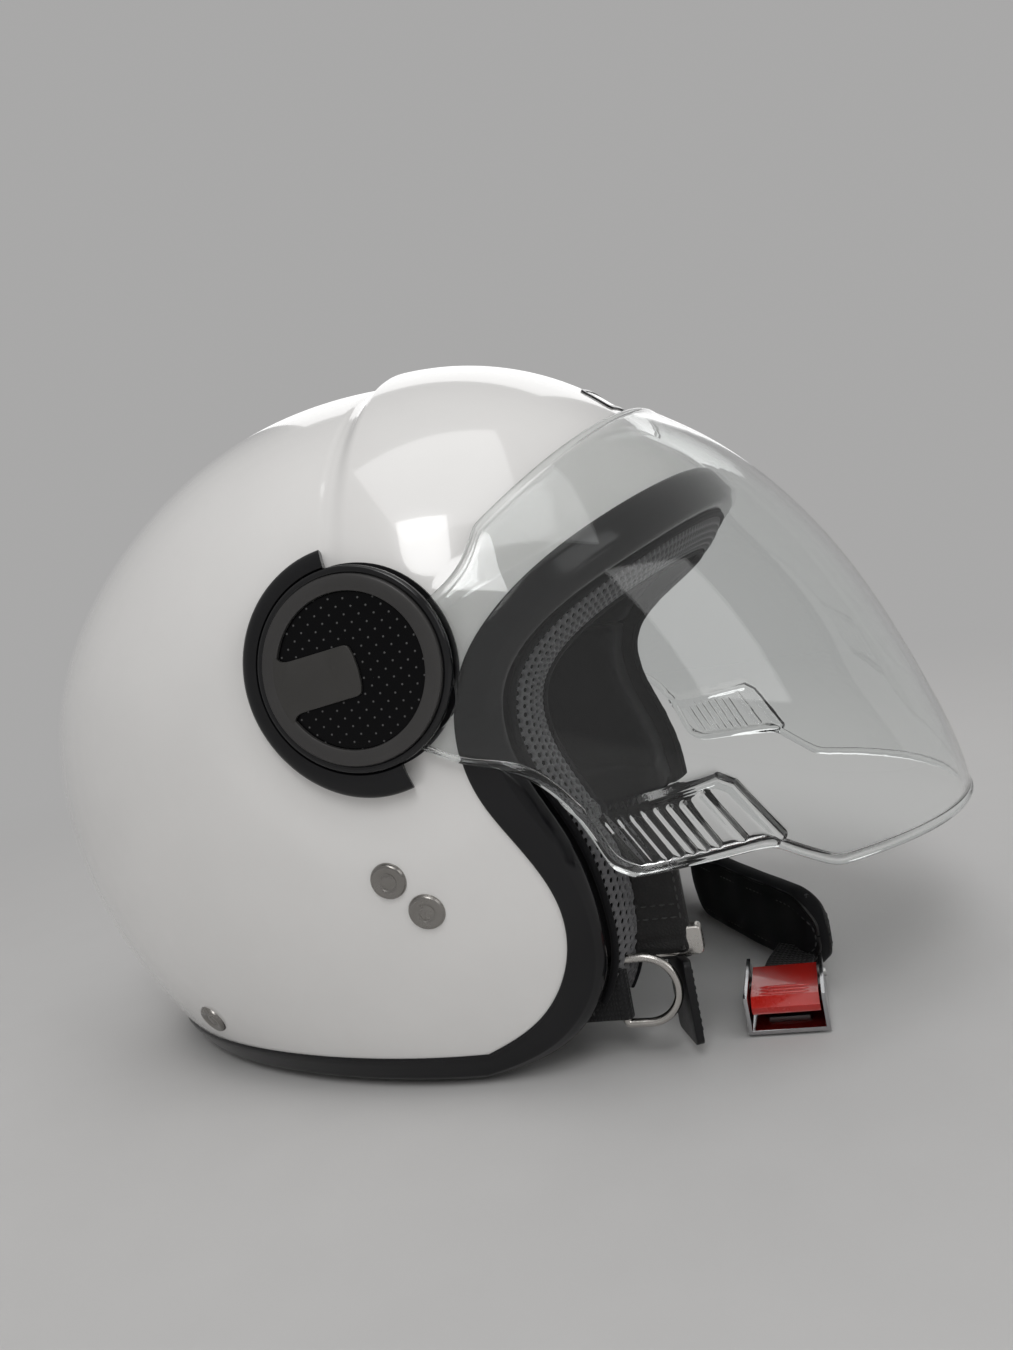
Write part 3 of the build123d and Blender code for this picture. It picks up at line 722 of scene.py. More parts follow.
class MaterialMaker:
    """Builds the nodes of one finish."""

    def __init__(self, finish: Finish) -> None:
        """Start an empty material for a finish."""
        self.finish = finish
        self.material = bpy.data.materials.new(finish.name)
        self.material.use_nodes = True
        self.nodes = self.material.node_tree.nodes
        self.links = self.material.node_tree.links
        self.nodes.clear()

    def add(self, kind: str, inputs: dict | None = None, **settings: object) -> bpy.types.Node:
        """New node with its settings, and its inputs as values or as sockets to link from.

        Args:
            kind: The node's type.
            inputs: Values or sockets by input name or number.

        Returns:
            The new node.
        """
        node = self.nodes.new(kind)
        for key, value in settings.items():
            setattr(node, key, value)
        for key, value in (inputs or {}).items():
            if isinstance(value, bpy.types.NodeSocket):
                self.links.new(value, node.inputs[key])
            else:
                node.inputs[key].default_value = value
        return node

    def math(self, operation: str, first: object, second: object = 0.0) -> bpy.types.NodeSocket:
        """Result of a sum on two values or sockets."""
        return self.add("ShaderNodeMath", {0: first, 1: second}, operation=operation).outputs[0]

    def noise(self, vector: bpy.types.NodeSocket, scale: float, detail: float = 3.0) -> bpy.types.NodeSocket:
        """Noise whose features are 1 / scale metres large."""
        inputs = {"Vector": vector, "Scale": scale, "Detail": detail}
        return self.add("ShaderNodeTexNoise", inputs).outputs["Fac"]

    def cells(self, where: bpy.types.NodeSocket, size: float, feature: str) -> bpy.types.NodeSocket:
        """Distance inside cells that are size metres large."""
        inputs = {"Vector": where, "Scale": 1 / size}
        return self.add("ShaderNodeTexVoronoi", inputs, feature=feature).outputs["Distance"]

    def spread(self, value: bpy.types.NodeSocket, low: float, high: float) -> bpy.types.NodeSocket:
        """Value from 0.3 to 0.7 stretched between low and high."""
        return self.add(
            "ShaderNodeMapRange", {"Value": value, 1: 0.3, 2: 0.7, 3: low, 4: high}
        ).outputs[0]

    def ripples(self, value: bpy.types.NodeSocket, pitch: float,
                phase: object = 0.0) -> bpy.types.NodeSocket:
        """Sine wave of a length, from 0 to 1."""
        angle = self.math("MULTIPLY", value, 2 * math.pi / pitch)
        wave = self.math("SINE", self.math("ADD", angle, phase))
        return self.math("ADD", self.math("MULTIPLY", wave, 0.5), 0.5)

    def height(self, where: bpy.types.NodeSocket) -> bpy.types.NodeSocket:
        """Height of the fine relief, about 0 to 1.

        Args:
            where: Position socket of the texture.

        Returns:
            The height's socket.
        """
        size = self.finish.relief_size * MM
        grain = self.finish.grain
        if grain is Grain.LEATHER:
            cells = self.cells(where, size, "DISTANCE_TO_EDGE")
            creases = self.math("MINIMUM", self.math("MULTIPLY", cells, 3.5), 1.0)
            return self.math("ADD", creases, self.math("MULTIPLY", self.noise(where, 3 / size), 0.5))
        if grain is Grain.WEBBING:
            run = self.add("ShaderNodeUVMap", uv_map="Run").outputs[0]
            parts = self.add("ShaderNodeSeparateXYZ", {0: run})
            along = self.ripples(parts.outputs[0], size)
            across = self.ripples(parts.outputs[1], size * 1.4, self.math("MULTIPLY", along, 1.6))
            threads = self.math("MULTIPLY", along, across)
            return self.math("ADD", threads, self.math("MULTIPLY", self.noise(where, 9000.0), 0.35))
        if grain is Grain.BRUSHED_CLOTH:
            return self.math("ADD", self.cells(where, size, "F1"), self.noise(where, 2.5 / size, 5.0))
        if grain is Grain.BRUSHED_METAL:
            inputs = {"Vector": where, "Scale": (0.06, 1.0, 1.0)}
            stretched = self.add("ShaderNodeMapping", inputs).outputs[0]
            return self.noise(stretched, 1 / size, 4.0)
        if grain is Grain.BEADS:
            return self.math("SUBTRACT", 1.0, self.cells(where, size, "SMOOTH_F1"))
        if grain is Grain.DOTS:
            return self.dot_height(where, size)
        if grain is Grain.STIPPLE:
            return self.noise(where, 1 / size, 6.0)
        return self.noise(where, 1 / size, 1.0)

    def dot_height(self, where: bpy.types.NodeSocket, pitch: float) -> bpy.types.NodeSocket:
        """Small raised dots in a slanted square grid across the pivot axis; the same mask places a painted
        highlight on each dot.

        Args:
            where: Position socket of the texture.
            pitch: Distance from dot to dot, in metres.

        Returns:
            The height's socket.
        """
        inputs = {"Vector": where, "Rotation": (math.radians(38), 0, 0)}
        turned = self.add("ShaderNodeMapping", inputs).outputs[0]
        parts = self.add("ShaderNodeSeparateXYZ", {0: turned})
        squares = []
        for axis in (1, 2):
            cell = self.math("FRACT", self.math("DIVIDE", parts.outputs[axis], pitch))
            squares.append(self.math("POWER", self.math("SUBTRACT", cell, 0.5), 2.0))
        distance = self.math("SQRT", self.math("ADD", *squares))
        inputs = {"Value": distance, 1: 0.05, 2: 0.12, 3: 1.0, 4: 0.0}
        return self.add("ShaderNodeMapRange", inputs).outputs[0]

    def build(self) -> bpy.types.Material:
        """The finished material."""
        finish = self.finish
        where = self.add("ShaderNodeTexCoord").outputs["Object"]
        shader = self.add("ShaderNodeBsdfPrincipled", {
            "Metallic": finish.metallic, "IOR": finish.ior, "Transmission Weight": finish.transmission,
            "Coat Weight": finish.coat, "Coat Roughness": 0.04, "Sheen Weight": finish.sheen,
            "Sheen Roughness": 0.45, "Specular IOR Level": finish.specular,
        })
        height = self.height(where)
        broad = self.noise(where, 38.0, 4.0)
        fine = self.noise(where, 900.0, 4.0)
        tone_and_hollow_shade = self.math("ADD", self.spread(broad, -finish.mottle, finish.mottle), 1.0)
        # Cloth, leather and bead grains get their colour darkened where the relief is low: painted shade in
        # the hollows between threads, in creases and between beads, on top of the random mottled tone.
        if finish.grain in (Grain.WEBBING, Grain.BRUSHED_CLOTH, Grain.LEATHER, Grain.BEADS):
            tone_and_hollow_shade = self.math("MULTIPLY", tone_and_hollow_shade, self.math("ADD", self.math("MULTIPLY", height, 0.5), 0.62))
        shaded = {0: finish.colour, "Scale": tone_and_hollow_shade}
        base = self.add("ShaderNodeVectorMath", shaded, operation="SCALE").outputs[0]
        # Each dot of a dotted panel is mixed towards a lighter grey: a painted highlight on every raised dot.
        if finish.grain is Grain.DOTS:
            dot_highlight_mix = {0: height, 6: base, 7: DOT_HIGHLIGHT_COLOUR}
            base = self.add("ShaderNodeMix", dot_highlight_mix, data_type="RGBA").outputs[2]
        if finish.dust:
            specks = self.add("ShaderNodeMapRange", {"Value": fine, 1: 0.56, 2: 0.72, 3: 0.0, 4: finish.dust})
            base = self.add("ShaderNodeMix", {0: specks.outputs[0], 6: base, 7: DUST_COLOUR},
                            data_type="RGBA").outputs[2]
        self.links.new(base, shader.inputs["Base Color"])
        rough = self.math("ADD", self.spread(broad, -finish.uneven, finish.uneven), finish.roughness)
        rough = self.math("ADD", rough, self.spread(fine, -finish.uneven / 3, finish.uneven / 3))
        self.links.new(self.math("MAXIMUM", rough, 0.0), shader.inputs["Roughness"])
        bump = self.add("ShaderNodeBump", {
            "Height": height,
            "Strength": min(1.0, finish.relief),
            "Distance": finish.relief_size * MM * 0.35,
        })
        self.links.new(bump.outputs[0], shader.inputs["Normal"])
        output = self.add("ShaderNodeOutputMaterial")
        self.links.new(shader.outputs[0], output.inputs["Surface"])
        return self.material


PAINT = Finish("white_gloss_paint", (0.84, 0.83, 0.815), 0.16, Grain.PEEL, coat=1.0, relief=0.012,
               relief_size=2.2, mottle=0.012, uneven=0.03)
EDGING = Finish("black_gloss_edging", (0.005, 0.005, 0.006), 0.16, Grain.PEEL, specular=0.36,
                relief=0.01, relief_size=1.6, mottle=0.3, uneven=0.03)
CLEAR = Finish("clear_polycarbonate", (0.97, 0.985, 0.98), 0.0, Grain.PEEL, transmission=1.0, ior=1.42,
               relief=0.004, relief_size=4.0, mottle=0.0, uneven=0.004)
GLOSS_BLACK = Finish("gloss_black_cover", (0.006, 0.006, 0.007), 0.1, Grain.PEEL, specular=0.42,
                     relief=0.01, relief_size=1.6, mottle=0.2, uneven=0.03, dust=0.002)
SATIN_BLACK = Finish("satin_black_plastic", (0.007, 0.007, 0.008), 0.36, Grain.STIPPLE, specular=0.3,
                     relief=0.08, relief_size=0.35, mottle=0.2, uneven=0.06, dust=0.002)
DOTTED_BLACK = Finish("dotted_black_panel", (0.002, 0.002, 0.0025), 0.3, Grain.DOTS, specular=0.12,
                      relief=0.3, relief_size=3.1, mottle=0.15, uneven=0.05)
GUNMETAL = Finish("gunmetal_ring", (0.07, 0.068, 0.067), 0.38, Grain.STIPPLE, metallic=0.6, relief=0.06,
                  relief_size=0.3, mottle=0.06, uneven=0.05)
GREY_PLATE = Finish("grey_plate", (0.067, 0.065, 0.062), 0.4, Grain.STIPPLE, metallic=0.6, relief=0.06,
                    relief_size=0.3, mottle=0.06, uneven=0.05)
NICKEL = Finish("satin_nickel", (0.52, 0.5, 0.475), 0.24, Grain.BRUSHED_METAL, metallic=1.0, relief=0.1,
                relief_size=0.4, mottle=0.12, uneven=0.1)
RIVET = Finish("dark_nickel", (0.3, 0.288, 0.272), 0.27, Grain.BRUSHED_METAL, metallic=1.0, relief=0.1,
               relief_size=0.4, mottle=0.12, uneven=0.08)
CHROME = Finish("dark_chrome", (0.42, 0.42, 0.43), 0.14, Grain.PEEL, metallic=1.0, relief=0.02,
                relief_size=1.5, mottle=0.05, uneven=0.06)
ZINC = Finish("zinc_steel", (0.5, 0.5, 0.49), 0.38, Grain.BRUSHED_METAL, metallic=1.0, relief=0.2,
              relief_size=0.6, mottle=0.15, uneven=0.12)
RED_LEVER = Finish("red_plastic", (0.52, 0.018, 0.012), 0.24, Grain.STIPPLE, coat=0.4, relief=0.06,
                   relief_size=0.4, mottle=0.06, uneven=0.06)
FOAM = Finish("impact_foam", (0.035, 0.035, 0.036), 0.75, Grain.BEADS, relief=0.5, relief_size=3.4,
              mottle=0.2)
LINING = Finish("brushed_lining", (0.006, 0.006, 0.007), 0.9, Grain.BRUSHED_CLOTH, sheen=0.05,
                specular=0.2, relief=0.25, relief_size=0.4, mottle=0.12)
SPACER = Finish("spacer_mesh", (0.10, 0.10, 0.104), 0.55, Grain.BRUSHED_CLOTH, sheen=0.2, relief=0.3,
                relief_size=0.3, mottle=0.12)
SPACER_BACK = Finish("spacer_backing", (0.003, 0.003, 0.003), 0.9, Grain.BRUSHED_CLOTH, specular=0.15,
                     relief=0.4, relief_size=0.5, mottle=0.2)
WEBBING = Finish("strap_webbing", (0.009, 0.009, 0.010), 0.7, Grain.WEBBING, sheen=0.1, specular=0.3,
                 relief=0.9, relief_size=1.1, mottle=0.15)
LEATHER = Finish("black_leatherette", (0.008, 0.0075, 0.0075), 0.42, Grain.LEATHER, specular=0.36,
                 relief=0.3, relief_size=1.1, mottle=0.15, uneven=0.08)
SUEDE = Finish("chin_guard_cloth", (0.005, 0.005, 0.006), 0.88, Grain.BRUSHED_CLOTH, sheen=0.05,
               specular=0.2, relief=0.25, relief_size=0.4, mottle=0.15)
THREAD = Finish("sewing_thread", (0.03, 0.03, 0.03), 0.6, Grain.STIPPLE, sheen=0.2, relief=0.4,
                relief_size=0.2, mottle=0.2)
BADGE_WHITE = Finish("badge_enamel", (0.8, 0.795, 0.785), 0.12, Grain.PEEL, coat=1.0, relief=0.01,
                     relief_size=2.0, mottle=0.02, uneven=0.03)


def install(obj: Object, finish: Finish, body: str = "root", stands_for: Sequence = ()) -> Object:
    """Give a piece its finish, its body and the CAD nodes that it stands for.

    Args:
        obj: The piece.
        finish: Its finish.
        body: The CAD body that it moves with.
        stands_for: CAD nodes that it hides.

    Returns:
        The piece.
    """
    obj.data.materials.clear()
    obj.data.materials.append(finish.material())
    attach(obj, body)
    if stands_for:
        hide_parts(*stands_for)
    LOG.info("%s: %d faces", obj.name, len(obj.data.polygons))
    return obj


# ---- painted shell ------------------------------------------------------------------------------


class EdgeLines:
    """The two edges of the black edging, from the rear of the rim round to the middle of the brow."""

    REAR_STEPS, SPAN_STEPS, BROW_STEPS = 70, 14, 60

    def __init__(self) -> None:
        """Work out both edges on the painted skin."""
        self.outer = self.line(PAINTED_EDGE, RIM_TOP)
        self.inner = self.line(FREE_EDGE, RIM_BOTTOM)
        self.count = len(self.outer)
        self.joint = self.REAR_STEPS + int(2.1 * self.SPAN_STEPS)

    def line(self, corners: Sequence, rim: float) -> Array:
        """(turn, sweep) of one edge.

        Args:
            corners: Points that the edge runs through.
            rim: Whether it is the lower rim's edge, and not the face opening's.

        Returns:
            Rows of turn and sweep.
        """
        curve, place = spline(corners)
        angle = np.degrees(np.arctan2(curve[:, 1], curve[:, 0]))
        share = np.hypot(curve[:, 0], curve[:, 1]) / SHELL.radius(angle)
        cross = np.interp(1.0, share[-60:], place[-60:])
        rear = self.rear_end(rim)
        t = np.linspace(0, 1, self.REAR_STEPS, endpoint=False)[:, None] ** 2
        behind = np.array([[rear, rim]]) * (1 - t) + np.array([corners[0]]) * t
        stations = np.arange(8 * self.SPAN_STEPS) / self.SPAN_STEPS
        t = np.linspace(0, 1, self.BROW_STEPS + 1)
        stations = np.concatenate([stations, 8 + (cross - 8) * (1 - (1 - t) ** 2)])
        ahead = np.stack([np.interp(stations, place, curve[:, k]) for k in (0, 1)], axis=1)
        turn, sweep = SHELL.locate(np.vstack([behind, ahead]))
        turn = np.where(turn > 90, turn - 360, turn)
        sweep[0] = sweep[-1] = 90.0
        return np.stack([turn, sweep], axis=1)

    @staticmethod
    def rear_end(rim: float) -> float:
        """How far back the rim reaches in the middle, as a forward coordinate."""
        forwards = np.linspace(-60, -190, 2000)
        turn = np.degrees(np.arctan2(rim, forwards))
        share = np.hypot(forwards, rim) / SHELL.radius(turn)
        return float(np.interp(1.0, share, forwards))

    def between(self, share: Array) -> tuple[Array, Array]:
        """Turn and sweep of points between the edges, 0 at the painted one and 1 at the free one."""
        share = np.asarray(share, float)[None, :, None]
        mixed = self.outer[:, None, :] * (1 - share) + self.inner[:, None, :] * share
        return mixed[..., 0], mixed[..., 1]


@dataclass
class PaintedShell:
    """The white moulded shell."""

    edges: EdgeLines
    wall: float = 4.0
    rows: int = 84
    tuck: float = 0.28

    def columns(self) -> tuple[Array, Array]:
        """Turn and largest sweep of each line from the pivot out to the shell's border."""
        turn, sweep = self.edges.between(np.array([self.tuck]))
        border_turn, border_sweep = turn[:, 0], sweep[:, 0]
        start = border_turn[-1]
        over = np.concatenate([
            np.arange(start + 1.5, 78, 1.5), np.arange(78, 104, 0.22),
            np.arange(104, border_turn[0] + 359.5, 1.5),
        ])
        turns = np.concatenate([[start], over, border_turn[:-1] + 360])
        sweeps = np.concatenate([[90.0], np.full(len(over), 90.0), border_sweep[:-1]])
        return turns, sweeps

    def build(self) -> Object:
        """Outer and inner faces of the shell with its border closed."""
        turns, limits = self.columns()
        share = np.linspace(0, 1, self.rows)
        turn = np.broadcast_to(turns[None, :], (self.rows, len(turns)))
        sweep = share[:, None] * limits[None, :]
        points, faces, start = [], [], 0
        count = len(turns)
        for side in SIDES.values():
            outside = SHELL.place(turn, sweep, 0.0, side)
            normal = SHELL.outward(turn, sweep, 0.0, side)
            normal[sweep > 89.999, 0] = 0
            normal /= np.linalg.norm(normal, axis=-1, keepdims=True)
            inside = outside - normal * self.wall
            for sheet in (outside, inside):
                points.append(sheet.reshape(-1, 3))
                faces += quads(self.rows, count, start, close_columns=True)
                start += self.rows * count
            last = (self.rows - 1) * count
            outer, inner = start - 2 * self.rows * count + last, start - self.rows * count + last
            for c in range(count):
                after = (c + 1) % count
                if limits[c] < 89.999 or limits[after] < 89.999:
                    faces.append((outer + c, outer + after, inner + after, inner + c))
        return mesh_object("painted_shell", np.vstack(points), faces, 60, 0.004)

    def dress(self) -> None:
        """Build the shell and paint it."""
        install(self.build(), PAINT, stands_for=["outer_shell"])


@dataclass
class Edging:
    """The black edging round the face opening and the lower rim, in two lengths."""

    edges: EdgeLines

    # share across from the painted edge to the free edge, and height above the skin
    SECTION = (
        (0.0, 0.03), (0.0, 0.45), (0.02, 0.75), (0.06, 0.93), (0.2, 1.0), (0.4, 1.0), (0.56, 1.0),
        (0.62, 1.02), (0.65, 0.95), (0.68, 0.72), (0.78, 0.05), (0.88, -0.75), (0.96, -1.7), (0.99, -2.6),
        (1.0, -3.6), (1.0, -7.0), (0.98, -7.8), (0.93, -8.0), (0.5, -8.0), (0.34, -7.6), (0.3, -7.0),
        (0.3, -4.3), (0.32, -4.1), (0.32, 0.03),
    )

    def section_points(self, first: int, last: int, side: int) -> Array:
        """Section corners at the stations from first to last.

        Args:
            first: First station.
            last: Last station.
            side: -1 for the wearer's right, 1 for the left.

        Returns:
            The points, by station and corner.
        """
        share = np.array([s for s, _ in self.SECTION])
        lift = np.array([h for _, h in self.SECTION])
        turn, sweep = self.edges.between(share)
        turn, sweep = turn[first:last], sweep[first:last]
        station = np.arange(self.edges.count)[first:last]
        brow = smooth_step(station, self.edges.REAR_STEPS + 6 * EdgeLines.SPAN_STEPS,
                           self.edges.REAR_STEPS + 8 * EdgeLines.SPAN_STEPS)
        ridges = np.zeros(len(share))
        for k, (s, _) in enumerate(self.SECTION[:15]):
            ridges[k] = 0.45 * max(0.0, math.sin((s - 0.62) / 0.36 * 3 * math.pi)) if 0.62 < s < 0.98 else 0.0
        height = lift[None, :] + brow[:, None] * ridges[None, :]
        normal = SHELL.outward(turn, sweep, 0.0, side)
        normal[sweep > 89.99, 0] = 0
        return SHELL.place(turn, sweep, 0.0, side) + normal * height[..., None]

    def length(self, name: str, first: int, last: int) -> Object:
        """One length of edging, on both sides and across the middle.

        Args:
            name: The object's name.
            first: First station.
            last: Last station.

        Returns:
            The new object.
        """
        right = self.section_points(first, last, -1)
        left = self.section_points(first, last, 1)
        width = len(self.SECTION)
        if last >= self.edges.count:
            loop = np.concatenate([right, left[::-1][1:]])
        else:
            loop = np.concatenate([right[::-1], left[1:]])
        faces = quads(len(loop), width, close_columns=True)
        faces.append(tuple(range(width)))
        faces.append(tuple(range((len(loop) - 1) * width, len(loop) * width)))
        return mesh_object(name, loop.reshape(-1, 3), faces, 50)

    def dress(self) -> None:
        """Build both lengths."""
        joint = self.edges.joint
        install(self.length("rim_edging", 0, joint + 1), EDGING, stands_for=["base_trim"])
        face = self.length("face_edging", joint, self.edges.count)
        install(face, EDGING, stands_for=["eyeport_trim"])


# ---- visor --------------------------------------------------------------------------------------


@dataclass
class ClearVisor:
    """The visor: a clear moulding with a rolled rim, ribbed side tabs and round hubs."""

    wall: float = 2.2
    bead: float = 1.75
    bead_width: float = 3.6
    hub: float = 26.0
    bush: float = 8.05
    top_turn: float = 40.5
    top_edge: tuple = ((20, 13), (28, 17.5), (33, 22), (38, 32.45))
    lower_edge: tuple = ((12, -23), (25, -30.5), (36, -33.5), (49, -44), (55, -55), (58.5, -65))
    tab_edge: tuple = ((65, -69.5), (101, -68.5), (107, -73), (117, -79.5))
    lip: float = -79.5

    def top_line(self) -> Array:
        """(turn, sweep) along the top edge, from the hub to the middle."""
        curve, _ = spline(self.top_edge)
        turn, sweep = VISOR_SKIN.locate(curve)
        rest = np.linspace(sweep[-1], 90, 300)[1:]
        even = np.linspace(sweep[0], 90, 1500)
        turn_at = np.concatenate([turn, np.full(len(rest), self.top_turn)])
        turns = np.interp(even, np.concatenate([sweep, rest]), turn_at)
        window = np.hanning(61)
        margin = len(window) // 2
        padded = np.concatenate([np.full(margin, turns[0]), turns, np.full(margin, turns[-1])])
        turns[1:] = np.convolve(padded, window / window.sum(), "valid")[1:]
        return np.stack([turns, even], 1)

    def bottom_line(self) -> Array:
        """(turn, sweep) along the lower edge, from the hub round the tab to the middle."""
        curve, _ = spline(self.lower_edge)
        turns = np.linspace(-40, -20, 400)
        radius, angle = VISOR_SKIN.radius(turns), np.radians(turns)
        tip = float(np.interp(self.lip, radius * np.sin(angle), radius * np.cos(angle)))
        polygon = np.vstack([curve, np.array(self.tab_edge), [[tip, self.lip]]])
        line = softened(polygon, 0.5, 40)
        far = line[line[:, 0] > 150]
        near = line[line[:, 0] <= 150]
        t = 1 - (1 - np.linspace(0, 1, 200)) ** 2
        tail = far[0] * (1 - t[:, None]) + np.array([tip, self.lip]) * t[:, None]
        turn, sweep = VISOR_SKIN.locate(np.vstack([near, tail]))
        sweep[-1] = 90.0
        return np.stack([turn, np.maximum.accumulate(sweep)], 1)

    # side view route of each moulded ridge of the tab, its half width and its height
    RIDGES = (
        (((50, -46), (57, -49.5), (64, -49.4), (89.5, -46.5), (93.2, -49), (103, -65.5)), 2.5, 1.5),
        (((58, -65.0), (64, -67.6), (96, -66), (101, -66.5)), 2.5, 1.5),
        (((85.8, -49.5), (93.6, -64)), 1.9, 0.9),
    )
    RIB_START, RIB_PITCH, RIB_LEAN, RIB_TOP, RIB_FOOT = 60.3, 3.42, 6.6, -51.5, -65.0

    @staticmethod
    def wave_along(forward: Array, up: Array, route: Sequence, half_width: float, rise: float) -> Array:
        """Height of one rounded ridge.

        Args:
            forward: Side view forward coordinates of the points.
            up: Their upward coordinates.
            route: Corners of the ridge's middle line.
            half_width: How far the ridge reaches to each side.
            rise: Its height on the middle line.

        Returns:
            The height at each point.
        """
        nearest = np.full(forward.shape, 1e9)
        for (ax, ay), (bx, by) in zip(route, route[1:]):
            dx, dy = bx - ax, by - ay
            t = np.clip(((forward - ax) * dx + (up - ay) * dy) / (dx * dx + dy * dy), 0, 1)
            nearest = np.minimum(nearest, np.hypot(forward - ax - t * dx, up - ay - t * dy))
        return rise * (0.5 + 0.5 * np.cos(math.pi * np.clip(nearest / half_width, 0, 1)))

    def relief(self, forward: Array, up: Array) -> Array:
        """Height of the tab's ridges and ribs over the visor's outer face, at side view points.

        Args:
            forward: Forward coordinates.
            up: Upward coordinates.

        Returns:
            The heights, in millimetres.
        """
        height = np.zeros_like(forward)
        for route, half_width, rise in self.RIDGES:
            height = np.maximum(height, self.wave_along(forward, up, route, half_width, rise))
        for k in range(7):
            start = self.RIB_START + self.RIB_PITCH * k
            route = ((start, self.RIB_TOP), (start + self.RIB_LEAN, self.RIB_FOOT))
            height = np.maximum(height, self.wave_along(forward, up, route, 1.35, 0.8))
        return height

    def sheet(self, side: int) -> tuple[Array, Array]:
        """Outer and inner points of one half of the visor, as grids of (across the height, along).

        Args:
            side: -1 for the wearer's right, 1 for the left.

        Returns:
            The outer and the inner points.
        """
        top, bottom = self.top_line(), self.bottom_line()
        pairs = np.array([
            (top[0, 1], bottom[0, 1]), (17.5, 11.6), (21.3, 14.6), (24.0, 19.7), (28.9, 26.6), (31.5, 29.4),
            (41.5, 39.4), (44.5, 42.4), (50.0, 47.4), (90.0, 90.0),
        ])
        steps = [6, 6, 8, 16, 16, 96, 24, 18, 90]
        top_sweep = np.concatenate([
            np.linspace(a, b, n, endpoint=False) for (a, _), (b, _), n in zip(pairs, pairs[1:], steps)
        ] + [[90.0]])
        low_sweep = np.concatenate([
            np.linspace(a, b, n, endpoint=False) for (_, a), (_, b), n in zip(pairs, pairs[1:], steps)
        ] + [[90.0]])
        top_turn = np.interp(top_sweep, top[:, 1], top[:, 0])
        low_turn = np.interp(low_sweep, bottom[:, 1], bottom[:, 0])
        dense = np.linspace(0, 1, 400)[:, None]
        turn = top_turn * (1 - dense) + low_turn * dense
        sweep = top_sweep * (1 - dense) + low_sweep * dense
        cloud = VISOR_SKIN.place(turn, sweep, 0.0, side)
        run = np.concatenate([
            np.zeros((1, cloud.shape[1])), np.cumsum(np.linalg.norm(np.diff(cloud, axis=0), axis=2), axis=0)
        ])
        rim = np.array([0.0, 0.12, 0.4, 0.8, 1.3, 1.8, 2.3, 2.8, 3.2, 3.6, 4.2])
        tab = np.arange(4.65, 27.0, 0.42)
        columns = []
        for c in range(cloud.shape[1]):
            total = run[-1, c]
            squeeze = min(1.0, total * 0.4 / 27.0)
            low = total - np.concatenate([rim, tab]) * squeeze
            high = rim * min(1.0, total / 60)
            middle = np.linspace(high[-1], low[-1], 58)[1:-1]
            at = np.concatenate([high, middle, low[::-1]])
            share = np.interp(at, run[:, c], dense[:, 0])
            from_edge = np.minimum(at / min(1.0, total / 60), (total - at) / squeeze)
            columns.append((top_turn[c] * (1 - share) + low_turn[c] * share,
                            top_sweep[c] * (1 - share) + low_sweep[c] * share, from_edge, at > total / 2))
        turn, sweep, edge, lower = (np.stack([col[k] for col in columns], axis=1) for k in range(4))
        middle = VISOR_SKIN.place(turn, sweep, 0.0, side)
        normal = VISOR_SKIN.outward(turn, sweep, 0.0, side)
        normal[sweep > 89.99, 0] = 0
        normal /= np.linalg.norm(normal, axis=-1, keepdims=True)
        half = self.wall / 2
        width = np.where(lower, self.bead_width, 3.0)
        bead = np.where(lower, self.bead, 1.35)
        roll = bead * np.sqrt(np.clip(1 - (2 * edge / width - 1) ** 2, 0, 1))
        thick = np.where(edge < width / 2, roll, np.maximum(roll, half))
        forward, up = PIVOT_Y - middle[..., 1], middle[..., 2] - PIVOT_Z
        ridges = self.relief(forward, up) * lower
        return middle + normal * (thick + ridges)[..., None], middle - normal * thick[..., None]

    def build(self) -> Object:
        """Both halves and both hubs as one moulding."""
        points, faces, start = [], [], 0
        for side in SIDES.values():
            outer, inner = self.sheet(side)
            rows, columns = outer.shape[:2]
            for grid in (outer, inner):
                points.append(grid.reshape(-1, 3))
                faces += quads(rows, columns, start)
                start += rows * columns
            first = start - 2 * rows * columns
            for r in range(rows - 1):
                a, b = first + r * columns, first + (r + 1) * columns
                faces.append((a, b, b + rows * columns, a + rows * columns))
        halves = mesh_object("visor_halves", np.vstack(points), faces, 60, 0.004)
        flat = VISOR_SKIN.flat_share * VISOR_SKIN.half_width
        parts = [halves]
        for name, side in SIDES.items():
            low, high, edge = flat - self.wall / 2, flat + self.wall / 2, 0.4
            section = [
                (self.bush, low), (self.hub - edge, low), (self.hub, low + edge), (self.hub, high - edge),
                (self.hub - edge, high), (self.bush + edge, high), (self.bush, high - edge),
            ]
            parts.append(lathe(f"visor_hub_{name}", section, (0, PIVOT_Y, PIVOT_Z), (side, 0, 0)))
        return joined("clear_visor", parts)

    def dress(self) -> None:
        """Build the visor in clear plastic."""
        install(self.build(), CLEAR, "visor", ["visor"])


# ---- side covers and small hardware -------------------------------------------------------------


